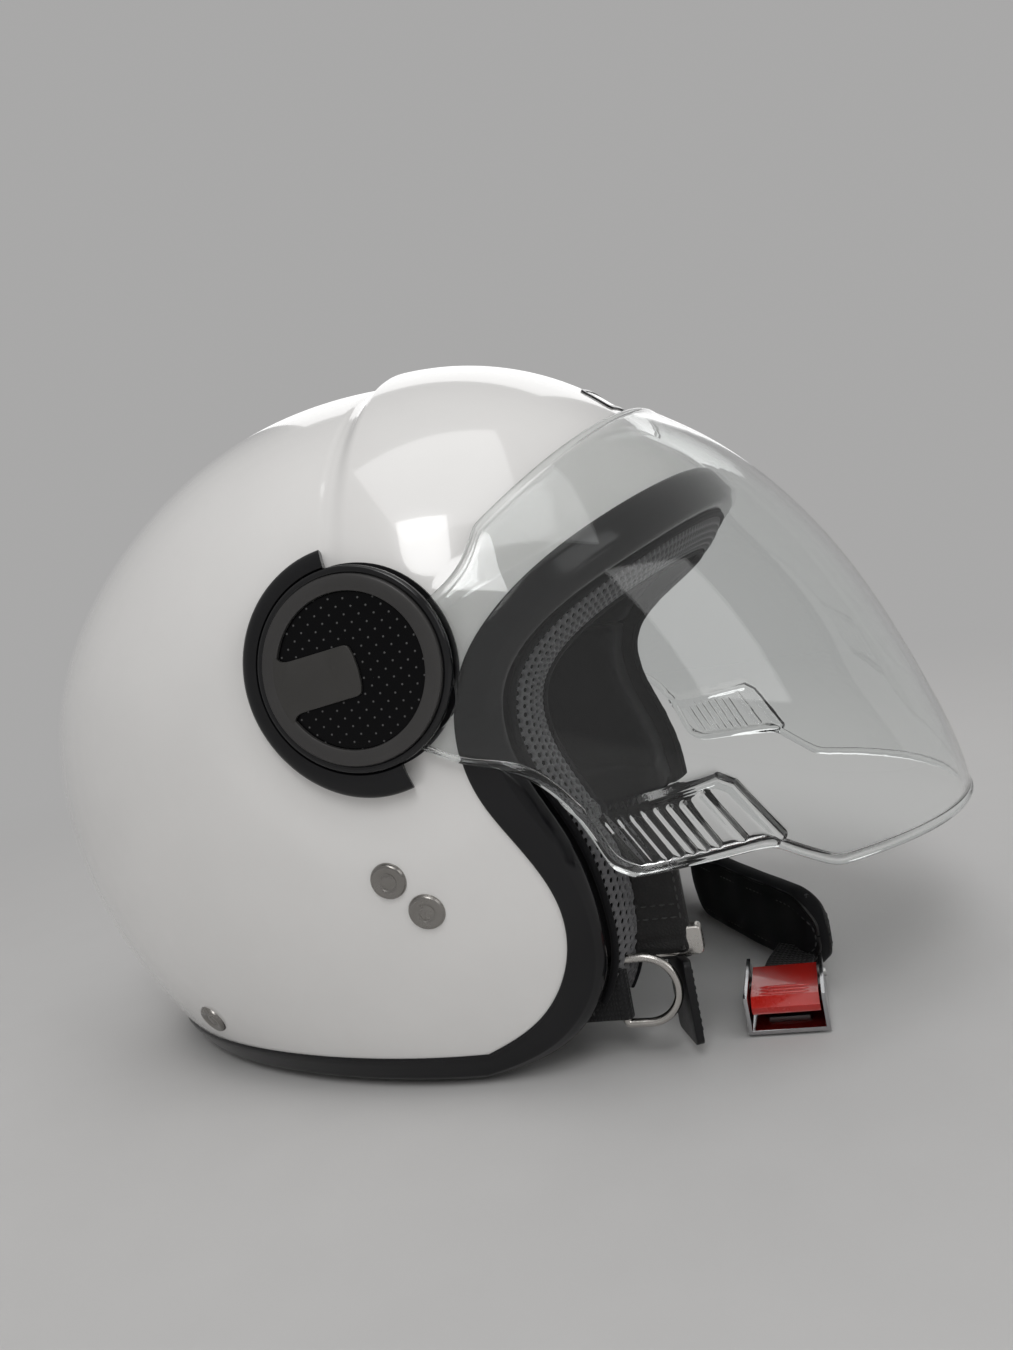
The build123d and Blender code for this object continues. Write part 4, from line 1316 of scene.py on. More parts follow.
@dataclass
class SideCover:
    """Round cover over the visor's pivot, with its ring, dotted panel, blank plate and crescent."""

    name: str
    side: int
    base_at: float = 121.8
    radius: float = 28.8
    ring_outer: float = 26.6
    ring_inner: float = 21.8

    @property
    def axis(self) -> tuple:
        """Direction out of the helmet."""
        return (self.side, 0, 0)

    def turned(self, piece: str, section: Sequence, **settings: float) -> Object:
        """Piece turned about the pivot axis."""
        return lathe(f"{piece}_{self.name}", section, (0, PIVOT_Y, PIVOT_Z), self.axis, **settings)

    @staticmethod
    def widen(arc: Object) -> None:
        """Let the crescent grow wider towards its lower end.

        Args:
            arc: The crescent, changed in place.
        """
        for vertex in arc.data.vertices:
            forward, up = PIVOT_Y - vertex.co.y / MM, vertex.co.z / MM - PIVOT_Z
            radius = math.hypot(forward, up)
            angle = math.degrees(math.atan2(up, forward)) % 360
            share = float(smooth_step(angle, 195, 290))
            wider = 29.1 + (radius - 29.1) * (1 + 0.36 * share) if radius > 29.1 else radius
            vertex.co.y = (PIVOT_Y - forward * wider / radius) * MM
            vertex.co.z = (PIVOT_Z + up * wider / radius) * MM

    def plate_outline(self) -> Array:
        """Outline of the plate, flared into the ring's rear and rounded in front, tilted a little."""
        tilt = math.radians(6)
        reach = self.ring_inner + 1.3
        rear = [
            (reach * math.cos(math.radians(a)), reach * math.sin(math.radians(a)))
            for a in range(154, 208, 4)
        ]
        low = [
            (-20.0, -9.0), (-19.3, -8.0), (-18.0, -7.45), (-16.0, -7.3), (0.6, -7.2), (1.7, -6.6),
            (2.4, -4.0),
        ]
        front = low + [(2.7, 0.0)] + [(x, -y) for x, y in low[::-1]]
        turned = [
            (x * math.cos(tilt) - y * math.sin(tilt), x * math.sin(tilt) + y * math.cos(tilt))
            for x, y in rear + front
        ]
        return softened(turned, 0.4, 2, closed=True)

    def dress(self) -> None:
        """Build the cover's pieces."""
        r, b = self.radius, self.base_at
        dish = [
            (0, b), (r - 0.4, b), (r, b + 0.4), (r, b + 1.6), (r - 0.25, b + 2.1), (r - 0.8, b + 2.4),
            (self.ring_outer + 0.35, b + 2.4), (self.ring_outer + 0.05, b + 2.2), (self.ring_outer, b + 1.65),
            (0, b + 1.65),
        ]
        install(self.turned("cover_dish", dish), GLOSS_BLACK,
                stands_for=[f"cover_base_{self.name}"])
        low, high = b + 1.66, 125.55
        ring = [
            (self.ring_inner, low), (self.ring_inner, high - 0.5), (self.ring_inner + 0.15, high - 0.15),
            (self.ring_inner + 0.5, high), (self.ring_outer - 0.9, high),
            (self.ring_outer - 0.35, high - 0.2), (self.ring_outer - 0.02, high - 0.7),
            (self.ring_outer - 0.02, low),
        ]
        install(self.turned("cover_ring", ring), GUNMETAL,
                stands_for=[f"cover_ring_{self.name}"])
        panel = [
            (0, low), (self.ring_inner - 0.02, low), (self.ring_inner - 0.02, low + 1.0),
            (self.ring_inner - 0.5, low + 1.12), (10, low + 1.16), (0, low + 1.18),
        ]
        install(self.turned("dotted_panel", panel), DOTTED_BLACK,
                stands_for=[f"cover_panel_{self.name}"])
        plate = outline_plate(f"blank_plate_{self.name}", self.plate_outline(), low + 1.0, high + 0.01,
                              self.side, 0.2)
        install(plate, GREY_PLATE, stands_for=[f"name_plate_{self.name}"])
        crescent = [
            (29.1, 108.0), (29.1, 123.1), (29.3, 123.45), (29.8, 123.6), (31.6, 123.5), (33.2, 123.0),
            (34.1, 122.2), (34.45, 121.2), (34.5, 119.5), (34.5, 108.0),
        ]
        arc = self.turned("crescent", crescent, turn_from=95.0, turn_to=288.0, steps=110, slant=-0.6)
        self.widen(arc)
        plate_section = [
            (2.6, 118.0), (29.4, 118.0), (29.4, 118.8), (8.4, 118.8), (8.0, 119.2), (8.0, 121.2),
            (7.6, 121.6), (5.0, 121.6), (5.0, 120.3), (2.6, 120.3),
        ]
        base = joined(f"pivot_crescent_{self.name}", [arc, self.turned("bush", plate_section, steps=96)])
        install(base, SATIN_BLACK, stands_for=[f"pivot_base_{self.name}"])


class Hardware:
    """Rivets, badge and the hidden hardware of the shell."""

    RIVETS = ((-4.5, -61.0), (4.5, -71.5))
    REAR = (-95.0, -110.5)
    BADGE = (29.6, 6.6, 3.2)  # half width, half height, corner radius
    FRAME_WIDTH = 1.5
    BADGE_TURN = 48.5
    HEAD = (
        (0, 1.0), (1.2, 0.98), (2.0, 0.9), (2.25, 0.72), (2.5, 0.72), (2.75, 0.98), (3.0, 1.1), (3.8, 1.2),
        (4.4, 1.22), (4.8, 1.12), (5.1, 0.9), (5.35, 0.5), (5.5, 0.0), (5.5, -1.2),
    )

    def rivet(self, name: str, spot: tuple, side: int) -> Object:
        """Low domed head with an engraved ring."""
        turn, sweep = SHELL.locate(np.array([spot]))
        foot = SHELL.place(turn, sweep, 0.0, side)[0]
        normal = SHELL.outward(turn, sweep, 0.0, side)[0]
        return lathe(name, self.HEAD, foot, normal, steps=64, crease=50)

    def dress(self) -> None:
        """Build the rivets and the badge, and finish the hidden hardware."""
        strap = [
            self.rivet(f"r{s}{k}", spot, s) for s in SIDES.values() for k, spot in enumerate(self.RIVETS)
        ]
        install(joined("strap_rivet_heads", strap), RIVET, stands_for=["strap_rivets"])
        rear = [self.rivet(f"b{s}", self.REAR, s) for s in SIDES.values()]
        install(joined("rear_rivet_heads", rear), RIVET, stands_for=["rear_rivets"])
        self.badge()
        for node in ("pivot_screws", "pivot_nuts", "anchor_plates"):
            finish_node(node, ZINC)
        finish_node("eps_liner", FOAM)

    def badge(self) -> None:
        """Blank badge on the brow: an enamelled field in a raised black frame."""
        frame, opening = self.badge_outline(0.0), self.badge_outline(self.FRAME_WIDTH)
        top, foot = 0.62, -0.3
        rings = [
            (frame, foot), (frame, top - 0.15), (frame * 0.996, top), (opening * 1.004, top),
            (opening, top - 0.15), (opening, foot),
        ]
        frame_mesh = self.badge_piece("badge_frame", rings, True)
        field_edge, top = self.badge_outline(self.FRAME_WIDTH - 0.1), 0.34
        middle = field_edge * 0.02
        rings = [(field_edge, foot), (field_edge, top - 0.15), (field_edge * 0.996, top), (middle, top)]
        field_mesh = self.badge_piece("badge_field", rings, False)
        install(frame_mesh, GLOSS_BLACK, stands_for=["forehead_badge"])
        install(field_mesh, BADGE_WHITE)

    def badge_outline(self, inset: float) -> Array:
        """The badge's outline, made smaller by inset."""
        half_width, half_height, corner = self.BADGE
        return self.rounded_field(half_width - inset, half_height - inset, corner - inset)

    def badge_piece(self, name: str, rings: Sequence, ring_shaped: bool) -> Object:
        """Mesh through (outline, height) rings laid on the brow.

        Args:
            name: The object's name.
            rings: Outlines with their heights over the painted skin.
            ring_shaped: Whether the last ring joins the first, or both are closed by a face.

        Returns:
            The new object.
        """
        points = np.vstack([self.on_brow(ring, height) for ring, height in rings])
        count = len(rings[0][0])
        faces = quads(len(rings), count, close_columns=True, close_rows=ring_shaped)
        if not ring_shaped:
            faces += [tuple(range(count)), tuple(range((len(rings) - 1) * count, len(rings) * count))]
        return mesh_object(name, points, faces, 40)

    @staticmethod
    def rounded_field(half_width: float, half_height: float, corner: float) -> Array:
        """Outline of a rounded rectangle, with the same number of points at every size.

        Args:
            half_width: Half the width.
            half_height: Half the height.
            corner: Corner radius.

        Returns:
            The outline's points.
        """
        points = []
        for cx, cy, start in ((1, 1, 0), (-1, 1, 90), (-1, -1, 180), (1, -1, 270)):
            for k in range(9):
                angle = math.radians(start + 90 * k / 8)
                points.append((cx * (half_width - corner) + corner * math.cos(angle),
                               cy * (half_height - corner) + corner * math.sin(angle)))
            ahead = {(1, 1): (-1, 0), (-1, 1): (0, -1), (-1, -1): (1, 0), (1, -1): (0, 1)}[(cx, cy)]
            span = 2 * (half_width - corner) if ahead[0] else 2 * (half_height - corner)
            last = points[-1]
            pieces = 24 if ahead[0] else 6
            points += [(last[0] + ahead[0] * span * j / pieces, last[1] + ahead[1] * span * j / pieces)
                       for j in range(1, pieces)]
        return np.array(points)

    @staticmethod
    def on_brow(ring: Array, height: float) -> Array:
        """Badge points laid on the raised band."""
        turn = Hardware.BADGE_TURN + np.degrees(ring[:, 1] / SHELL.band_radius)
        sweep = SHELL.sweep_at(ring[:, 0])
        sweep = np.where(ring[:, 0] > 0, 180 - sweep, sweep)
        return SHELL.lifted(turn, sweep, np.full(len(ring), height), -1)


def finish_node(node: str, finish: Finish) -> None:
    """Give a CAD node that stays in view a finish."""
    obj = FRAME_NODES[node]
    obj.data.materials.clear()
    obj.data.materials.append(finish.material())


# ---- comfort liner ------------------------------------------------------------------------------


def soft_copy(node: str, name: str, voxel: float, rounds: int, puff: float, seams: Sequence = ()) -> Object:
    """Padded shape grown from a CAD node's solid.

    Args:
        node: The CAD node that gives the shape.
        name: The new object's name.
        voxel: Size of the mesh, in millimetres.
        rounds: Smoothing steps.
        puff: How far the faces swell, in millimetres.
        seams: (axis, place, side view weight) of sewn channels, each a plane across an axis.

    Returns:
        The padded object.
    """
    rough = bpy.data.objects.new(name + "_rough", FRAME_NODES[node].data.copy())
    bpy.context.scene.collection.objects.link(rough)
    remesh = rough.modifiers.new("even", "REMESH")
    remesh.mode = "VOXEL"
    remesh.voxel_size = voxel * MM
    bpy.context.view_layer.update()
    evaluated = rough.evaluated_get(bpy.context.evaluated_depsgraph_get())
    mesh = bpy.data.meshes.new_from_object(evaluated)
    bpy.data.objects.remove(rough)
    form = bmesh.new()
    form.from_mesh(mesh)
    for _ in range(rounds):
        bmesh.ops.smooth_vert(
            form, verts=form.verts, factor=0.5, use_axis_x=True, use_axis_y=True, use_axis_z=True
        )
    form.normal_update()
    for vertex in form.verts:
        depth = sum(
            1.6 * math.exp(-(((vertex.co[axis] / MM - place) / 2.6) ** 2)) for axis, place in seams
        )
        vertex.co += vertex.normal * (puff - depth) * MM
    form.to_mesh(mesh)
    form.free()
    mesh.polygons.foreach_set("use_smooth", [True] * len(mesh.polygons))
    mesh.name = name
    obj = bpy.data.objects.new(name, mesh)
    bpy.context.scene.collection.objects.link(obj)
    return obj


@dataclass
class SpacerStrip:
    """Padded strip of open honeycomb mesh along the edge of the face opening, with bound edges."""

    start_up: float = -112.0
    depth: float = 7.6
    width: float = 14.0
    pitch: float = 2.7
    puff: float = 1.7
    rise: float = 5.6

    def __post_init__(self) -> None:
        """Lay the strip's border out on the flattened wall of the opening."""
        curve, _ = spline(FREE_EDGE)
        keep = curve[:, 1] > self.start_up
        self.curve = curve[keep]
        self.run = np.concatenate([[0], np.cumsum(np.linalg.norm(np.diff(self.curve, axis=0), axis=1))])
        slope = np.gradient(self.curve, self.run, axis=0)
        self.ahead = np.stack([slope[:, 1], -slope[:, 0]], 1)
        angle = np.degrees(np.arctan2(self.curve[:, 1], self.curve[:, 0]))
        share = np.hypot(*self.curve.T) / SHELL.radius(angle, -self.depth)
        top = float(np.interp(1.0, share[-80:], self.run[-80:]))
        t = 1 - (1 - np.linspace(0, 1, 400)) ** 2
        at = top * t
        side_view = np.stack([np.interp(at, self.run, self.curve[:, k]) for k in (0, 1)], 1)
        turn, sweep = SHELL.locate(side_view, -self.depth)
        across = np.abs(SHELL.place(turn, sweep, -self.depth)[:, 0])
        across[-1] = 0
        half = np.stack([across, at], 1)
        arch = np.vstack([half * [-1, 1], (half * [1, 1])[::-1][1:]])
        self.arch = softened(arch, 1.0, 30)
        tangent = np.gradient(self.arch, axis=0)
        tangent /= np.linalg.norm(tangent, axis=1, keepdims=True)
        self.inward = np.stack([tangent[:, 1], -tangent[:, 0]], 1)
        self.length = float(len(self.arch) - 1)

    def point(self, along: Array, across: Array, lift: Array) -> Array:
        """Points of the strip: along it, across it from its border, and lifted off the wall.

        Args:
            along: Position along the strip.
            across: Distance from its border.
            lift: Height off the wall.

        Returns:
            The points, in millimetres.
        """
        index = np.arange(len(self.arch))
        base = np.stack([np.interp(along, index, self.arch[:, k]) for k in (0, 1)], -1)
        inward = np.stack([np.interp(along, index, self.inward[:, k]) for k in (0, 1)], -1)
        flat = base + inward * np.asarray(across)[..., None]
        side_view = np.stack([np.interp(flat[..., 1], self.run, self.curve[:, k]) for k in (0, 1)], -1)
        ahead = np.stack([np.interp(flat[..., 1], self.run, self.ahead[:, k]) for k in (0, 1)], -1)
        side_view = side_view + ahead * np.asarray(lift)[..., None]
        return np.stack([flat[..., 0], PIVOT_Y - side_view[..., 0], PIVOT_Z + side_view[..., 1]], -1)

    def crown(self, across: Array) -> Array:
        """Height of the padded crown across the strip, which rises towards the inside."""
        share = np.clip(across / self.width, 0, 1)
        return self.puff * np.sin(np.pi * share) ** 0.7 + self.rise * share

    def net(self) -> Object:
        """Honeycomb of joined cells with round holes."""
        rise = self.pitch * math.sqrt(3) / 2
        rows = int((self.width - 1.2) / rise)
        cells = int(self.length / self.pitch) - 1
        angles = np.radians(np.arange(12) * 30 + 30)
        corner = self.pitch / math.sqrt(3)
        outer_radius = np.where(np.arange(12) % 2 == 0, corner, corner * math.cos(math.pi / 6))
        rings = [
            (outer_radius, 0.30), (np.full(12, 1.02), 0.26), (np.full(12, 0.88), 0.02),
            (np.full(12, 0.84), -0.5),
        ]
        points, faces, start = [], [], 0
        for row in range(rows):
            across = 1.4 + rise * row
            along = self.pitch * (np.arange(cells) + 1 + 0.5 * (row % 2))
            for radius, lift in rings:
                a = along[:, None] + radius * np.cos(angles)
                d = across + radius * np.sin(angles) + 0 * along[:, None]
                points.append((a, d, lift))
            block = np.stack([self.point(a, d, self.crown(d) + lift) for a, d, lift in points[-4:]], 1)
            for cell in range(cells):
                faces += quads(4, 12, start, close_columns=True)
                start += 48
            points = points[:-4]
            points.append(block.reshape(-1, 3))
        return mesh_object("spacer_net", np.vstack(points), faces, 60, 0.03)

    def backing(self) -> Object:
        """Dark cloth under the net."""
        along = np.arange(0, self.length, 2.0)
        across = np.linspace(-0.2, self.width + 0.2, 11)
        a, d = np.meshgrid(along, across, indexing="ij")
        top = self.point(a, d, self.crown(d) - 0.45)
        low = self.point(a, d, np.full(a.shape, -1.0))
        rows, columns = a.shape
        faces = quads(rows, columns) + quads(rows, columns, rows * columns)
        second = rows * columns
        for r in range(rows - 1):
            for c in (0, columns - 1):
                k = r * columns + c
                faces.append((k, k + columns, second + k + columns, second + k))
        for r in (0, rows - 1):
            for c in range(columns - 1):
                k = r * columns + c
                faces.append((k, k + 1, second + k + 1, second + k))
        return mesh_object("spacer_backing", np.vstack([top.reshape(-1, 3), low.reshape(-1, 3)]), faces, 50)

    def binding(self, name: str, across: float) -> Object:
        """Rolled binding along one edge."""
        along = np.arange(0, self.length, 1.5)
        lift = float(self.crown(np.array(across))) + 0.25
        path = self.point(along, np.full(len(along), across), np.full(len(along), lift))
        return swept(name, path, round_profile(1.15, 12), (1, 0.01, 0.02))

    def dress(self) -> None:
        """Build the strip."""
        install(self.backing(), SPACER_BACK)
        install(self.net(), SPACER)
        bindings = [self.binding("outer_bind", -0.2), self.binding("inner_bind", self.width)]
        install(joined("spacer_binding", bindings),
                LINING)


class ComfortLiner:
    """The cloth covered pads inside the helmet."""

    def dress(self) -> None:
        """Build every pad."""
        crown = soft_copy("crown_pad", "crown_lining", 3.0, 6, 0.4, seams=((0, -26.0), (0, 26.0)))
        install(crown, LINING, stands_for=["crown_pad"])
        brow = soft_copy("brow_pad", "brow_lining", 2.5, 5, 0.2)
        install(brow, LINING, stands_for=["brow_pad"])
        for name, side in SIDES.items():
            cheek = soft_copy(f"cheek_pad_{name}", f"cheek_lining_{name}", 2.5, 7, 0.5, seams=((2, 62.0),))
            install(cheek, LINING, stands_for=[f"cheek_pad_{name}"])
        neck = soft_copy("neck_roll", "neck_lining", 2.5, 7, 0.3, seams=((0, -40.0), (0, 40.0)))
        install(neck, LEATHER, stands_for=["neck_roll"])


# ---- straps -------------------------------------------------------------------------------------


@dataclass
class RightStrap:
    """Right strap: the ring's loop, the sleeve with its slide, the toothed tongue and the ring."""

    thick: float = 1.8
    width: float = 17.0
    run_x: float = -88.9
    middle: float = 22.0
    bar_y: float = -53.5
    wire: float = 1.3
    hang_x: float = -82.0
    twist: float = -36.0

    def loop(self) -> Object:
        """Webbing that runs along the rim, round the ring's bar and back."""
        out, back = self.run_x - 0.95, self.run_x + 2.25
        arc = [
            (self.run_x + 0.65 - 1.6 * math.cos(a) * 1.45, self.bar_y + 0.6 - 2.35 * math.sin(a), self.middle)
            for a in np.linspace(0, math.pi, 9)
        ]
        path = np.array([(out, 4.5, self.middle), (out, self.bar_y + 1, self.middle)] + arc
                        + [(back, self.bar_y + 1, self.middle), (back, self.bar_y + 22, self.middle)])
        path = softened(path, 0.7, 3)
        profile = box_profile(self.thick * 0.84, self.width - 0.4, 0.7)
        return swept("ring_loop_webbing", path, profile, (0, 0, 1))

    def leg(self) -> Object:
        """Webbing from the anchor plate down to the rim."""
        corners = np.array([(-105.2, PIVOT_Y, 73.5), (-97.5, PIVOT_Y, 44.0), (-89.7, PIVOT_Y, 14.5)])
        path = resample(corners, 2.0)
        return swept("leg", path, box_profile(self.width - 0.6, self.thick * 0.9, 0.7), (1, 0, 0.26))

    def hanging_end(self) -> Object:
        """Strap that comes out of the liner and turns down into the sleeve."""
        path = softened([(self.hang_x, -33, 63), (self.hang_x, -58, 63), (self.hang_x, -66.6, 55),
                         (self.hang_x, -66.6, 32)], 1.0, 26)
        return swept("hang", path, box_profile(16.0, self.thick, 0.7), (1, 0, 0))

    def sleeve(self) -> Object:
        """Soft sleeve sewn over the strap."""
        corners = [(self.hang_x, -61.5, 70.5), (self.hang_x, -66.3, 60), (self.hang_x, -66.5, 29.0)]
        path = softened(corners, 0.6, 12)
        share = np.linspace(0, 1, len(path))
        end = np.minimum(share, 1 - share) * len(path) * 0.6
        scale = np.stack([0.93 + 0.07 * smooth_step(end, 0, 3), 0.62 + 0.38 * smooth_step(end, 0, 4)], 1)
        seam = 0.10 * np.exp(-(((share - 0.86) / 0.03) ** 2))
        pinch = 1 - seam - 0.08 * np.exp(-(((share - 0.45) / 0.05) ** 2))
        scale[:, 1] *= pinch
        profile = box_profile(18.6, 6.8, 2.6, per_corner=6, across=10)
        return swept("sleeve", path, profile, (1, 0, 0), scale=scale)

    def seam_rows(self) -> Object:
        """Stitching on both faces of the sleeve."""
        rows = []
        for face in (-3.42, 3.42):
            x = self.hang_x + face
            for k, y in enumerate((-58.9, -74.1)):
                rows.append(stitches(f"side{face}{k}", np.array([(x, y, 41), (x, y, 60)]), (1, 0, 0)))
            for k, z in enumerate((42.0, 46.0)):
                rows.append(stitches(f"foot{face}{k}", np.array([(x, -59.5, z), (x, -73.5, z)]), (1, 0, 0)))
        for k, y in enumerate((-44.0, -36.0)):
            x = self.run_x - 1.75
            rows.append(stitches(f"box{k}", np.array([(x, y, 15.5), (x, y, 28.5)]), (1, 0, 0)))
        return joined("sleeve_stitching", rows)

    def ring(self) -> Object:
        """D shaped wire ring."""
        high, low = self.middle + 10, self.middle - 10
        bow = [
            (self.bar_y - 7 - 10 * math.sin(a), self.middle + 10 * math.cos(a))
            for a in np.linspace(0, math.pi, 40)
        ]
        side_view = [(self.bar_y, self.middle), (self.bar_y, high - 0.2)] + bow + [(self.bar_y, low + 0.2)]
        path = softened([(self.run_x, y, z) for y, z in side_view], 0.45, 5, closed=True)
        return swept("d_ring", path, round_profile(self.wire, 20), (1, 0, 0), closed=True, crease=80)

    def twisted(self, obj: Object) -> Object:
        """Piece of the hanging strap turned more and more about its middle line towards its free end.

        Args:
            obj: The piece, changed in place.

        Returns:
            The same piece.
        """
        for vertex in obj.data.vertices:
            x, y, z = (c / MM for c in vertex.co)
            angle = math.radians(self.twist) * float(smooth_step(40.0 - z, 0.0, 13.0))
            dx, dy = x - self.hang_x, y + 66.5
            vertex.co.x = (self.hang_x + dx * math.cos(angle) - dy * math.sin(angle)) * MM
            vertex.co.y = (-66.5 + dx * math.sin(angle) + dy * math.cos(angle)) * MM
        return obj

    def slide(self) -> Object:
        """Metal slide, drawn forward so that its rounded front stands out of the sleeve."""
        obj = refined_copy("strap_slide", "metal_slide", 0.8, 4)
        for vertex in obj.data.vertices:
            vertex.co.y -= 1.6 * MM
            vertex.co.z += (vertex.co.z - 34.0 * MM) * 0.1
        return obj

    def dress(self) -> None:
        """Build the right strap's pieces."""
        webbing = joined("right_webbing", [self.leg(), self.loop()])
        install(webbing, WEBBING, stands_for=["right_strap"])
        install(self.twisted(joined("hanging_strap", [self.hanging_end()])), LEATHER)
        install(joined("strap_sleeve_soft", [self.sleeve()]), LEATHER,
                stands_for=["strap_sleeve"])
        install(self.seam_rows(), THREAD)
        install(self.slide(), NICKEL, stands_for=["strap_slide"])
        tail = self.twisted(refined_copy("toothed_tongue", "toothed_tail", 0.22, 2))
        install(tail, SATIN_BLACK, stands_for=["toothed_tongue"])
        install(self.ring(), NICKEL, "lock_ring", ["lock_ring"])


@dataclass
class LeftStrap:
    """Left strap with the padded chin guard."""

    thick: float = 1.8
    run_x: float = 88.9
    guard_height: float = 28.5
    guard_thick: float = 10.5
    guard_middle: float = 15.2

    def webbing(self) -> Object:
        """Webbing down from its anchor, forward along the rim and across to the guard."""
        leg = np.array([(105.2, PIVOT_Y, 73.5), (97.5, PIVOT_Y, 44.0), (89.7, PIVOT_Y, 14.5)])
        leg_path = resample(leg, 2.0)
        leg = swept("leg", leg_path, box_profile(16.4, self.thick * 0.9, 0.7), (1, 0, 0.26))
        z = 20.5
        corners = [
            (self.run_x, 4.5, z), (self.run_x, -50, z), (68, -63, z), (35, -69, z), (0, -89, z),
            (-33, -109.5, z),
        ]
        band_path = softened(corners, 1.0, 40)
        band = swept("band", band_path, box_profile(self.thick, 14.5, 0.7), (0, 0, 1))
        return joined("left_webbing", [leg, band])

    def guard_path(self) -> Array:
        """Middle line of the chin guard."""
        z = self.guard_middle
        return softened([(61, -64.3, z), (35, -69, z), (0, -89, z), (-38.5, -112.8, z)], 1.0, 60)

    def guard_scale(self, path: Array) -> Array:
        """Size of the guard's section along its length, rounded off at both ends.

        Args:
            path: The guard's middle line.

        Returns:
            Two factors for each point.
        """
        run = np.arange(len(path), dtype=float)
        to_end = np.minimum(run, len(path) - 1 - run)
        tall = np.sqrt(np.clip(1 - (1 - np.clip(to_end / 15.0, 0, 1)) ** 2, 0.02, 1))
        deep = np.sqrt(np.clip(1 - (1 - np.clip(to_end / 7.0, 0, 1)) ** 2, 0.04, 1))
        waves = 1 + 0.03 * np.sin(run * 0.31) * smooth_step(to_end, 4, 14)
        return np.stack([deep * waves, tall], 1)

    def guard(self) -> Object:
        """Padded body of the guard, fuller in the middle of its faces."""
        angles = np.linspace(0, 2 * np.pi, 56, endpoint=False)
        flat = np.sign(np.cos(angles)) * np.abs(np.cos(angles)) ** 0.8 * self.guard_thick / 2
        tall = np.sign(np.sin(angles)) * np.abs(np.sin(angles)) ** 0.66 * self.guard_height / 2
        path = self.guard_path()
        return swept("guard", path, np.stack([flat, tall], 1), (0, 0, 1), scale=self.guard_scale(path))

    def border(self, face: float, inset: float) -> Array:
        """Loop along the edge of one face of the guard.

        Args:
            face: Which face of the guard.
            inset: Distance in from the edge.

        Returns:
            The loop's points.
        """
        path = self.guard_path()
        _, over, rise = frames_along(path, (0, 0, 1))
        scale = self.guard_scale(path)
        high = self.guard_height / 2 - inset
        keep = slice(1, -1)
        base = path + over * (face * np.minimum(scale[:, :1] + 0.1, 1))
        top = (base + rise * (high * scale[:, 1:]))[keep]
        low = (base - rise * (high * scale[:, 1:]))[keep]
        return softened(np.vstack([top, low[::-1]]), 0.9, 6, closed=True)

    def dress(self) -> None:
        """Build the left strap and the guard."""
        install(self.webbing(), WEBBING, stands_for=["left_strap"])
        install(joined("chin_guard", [self.guard()]), SUEDE, stands_for=["chin_pad"])
        piping = [swept(f"pipe{k}", self.border(face, 2.2), round_profile(0.7, 10), (0, 0, 1), closed=True)
                  for k, face in enumerate((-3.0, 3.0))]
        install(joined("chin_guard_piping", piping), LEATHER)
        rows = []
        for k, face in enumerate((-4.55, 4.55)):
            loop = self.border(face, 5.4)
            rows.append(stitches(f"row{k}", loop, (0, 0, 1), 2.6, 0.24))
        install(joined("chin_guard_stitching", rows), THREAD)


@dataclass
class LeverBuckle:
    """Metal buckle frame with a sprung red lever."""

    pin_x: float = -50.5
    pin_z: float = 8.0
    walls: tuple = (-109.7, -88.3)

    def coil(self, y_from: float, direction: int) -> Object:
        """Torsion spring coil round the pin.

        Args:
            y_from: Where the coil starts along the pin.
            direction: Which way it runs.

        Returns:
            The new object.
        """
        turns = np.linspace(0, 2 * math.pi * 1.6, 60)
        path = np.stack([
            self.pin_x + 1.95 * np.cos(turns), y_from + direction * (0.12 + 0.35 * turns / turns[-1]),
            self.pin_z + 1.95 * np.sin(turns),
        ], 1)
        return swept(f"coil{direction}", path, round_profile(0.2, 8), (0, 1, 0), crease=80)

    def tail_webbing(self) -> Object:
        """Short webbing that joins the buckle to the chin guard."""
        corners = [(-48.2, -99, 6.0), (-42, -99, 6.0), (-36, -100.5, 7.2), (-31.5, -103.5, 9.5)]
        path = softened(corners, 0.7, 10)
        return swept("buckle_tail", path, box_profile(15.6, 1.7, 0.7), (0, 0, 1))

    def lever_ribs(self) -> Object:
        """Three raised grip ribs across the lever's free end."""
        ribs = []
        for k in range(3):
            x = -72.6 + 2.4 * k
            path = np.array([(x, y, 11.15) for y in np.linspace(-106.5, -91.5, 14)])
            size = np.minimum(1, 0.3 + np.minimum(np.arange(14), 13 - np.arange(14)) * 0.45)
            ribs.append(swept(f"rib{k}", path, round_profile(0.55, 10), (0, 0, 1), scale=size))
        return joined("lever_ribs", ribs)

    def dress(self) -> None:
        """Build the buckle's pieces."""
        install(refined_copy("buckle_frame", "buckle_case", 0.35, 3), CHROME,
                stands_for=["buckle_frame"])
        install(refined_copy("buckle_lever", "red_lever", 0.45, 4), RED_LEVER, "buckle_lever",
                ["buckle_lever"])
        install(self.lever_ribs(), RED_LEVER, "buckle_lever")
        install(refined_copy("buckle_pawl", "pawl", 0.25, 3), ZINC, "buckle_lever", ["buckle_pawl"])
        install(refined_copy("buckle_pin", "pin", 0.3, 3), ZINC, stands_for=["buckle_pin"])
        coils = joined("lever_springs", [self.coil(self.walls[0], 1), self.coil(self.walls[1], -1)])
        install(coils, ZINC, stands_for=["buckle_spring"])
        install(self.tail_webbing(), WEBBING, stands_for=["buckle_webbing"])


# ---- main ---------------------------------------------------------------------------------------


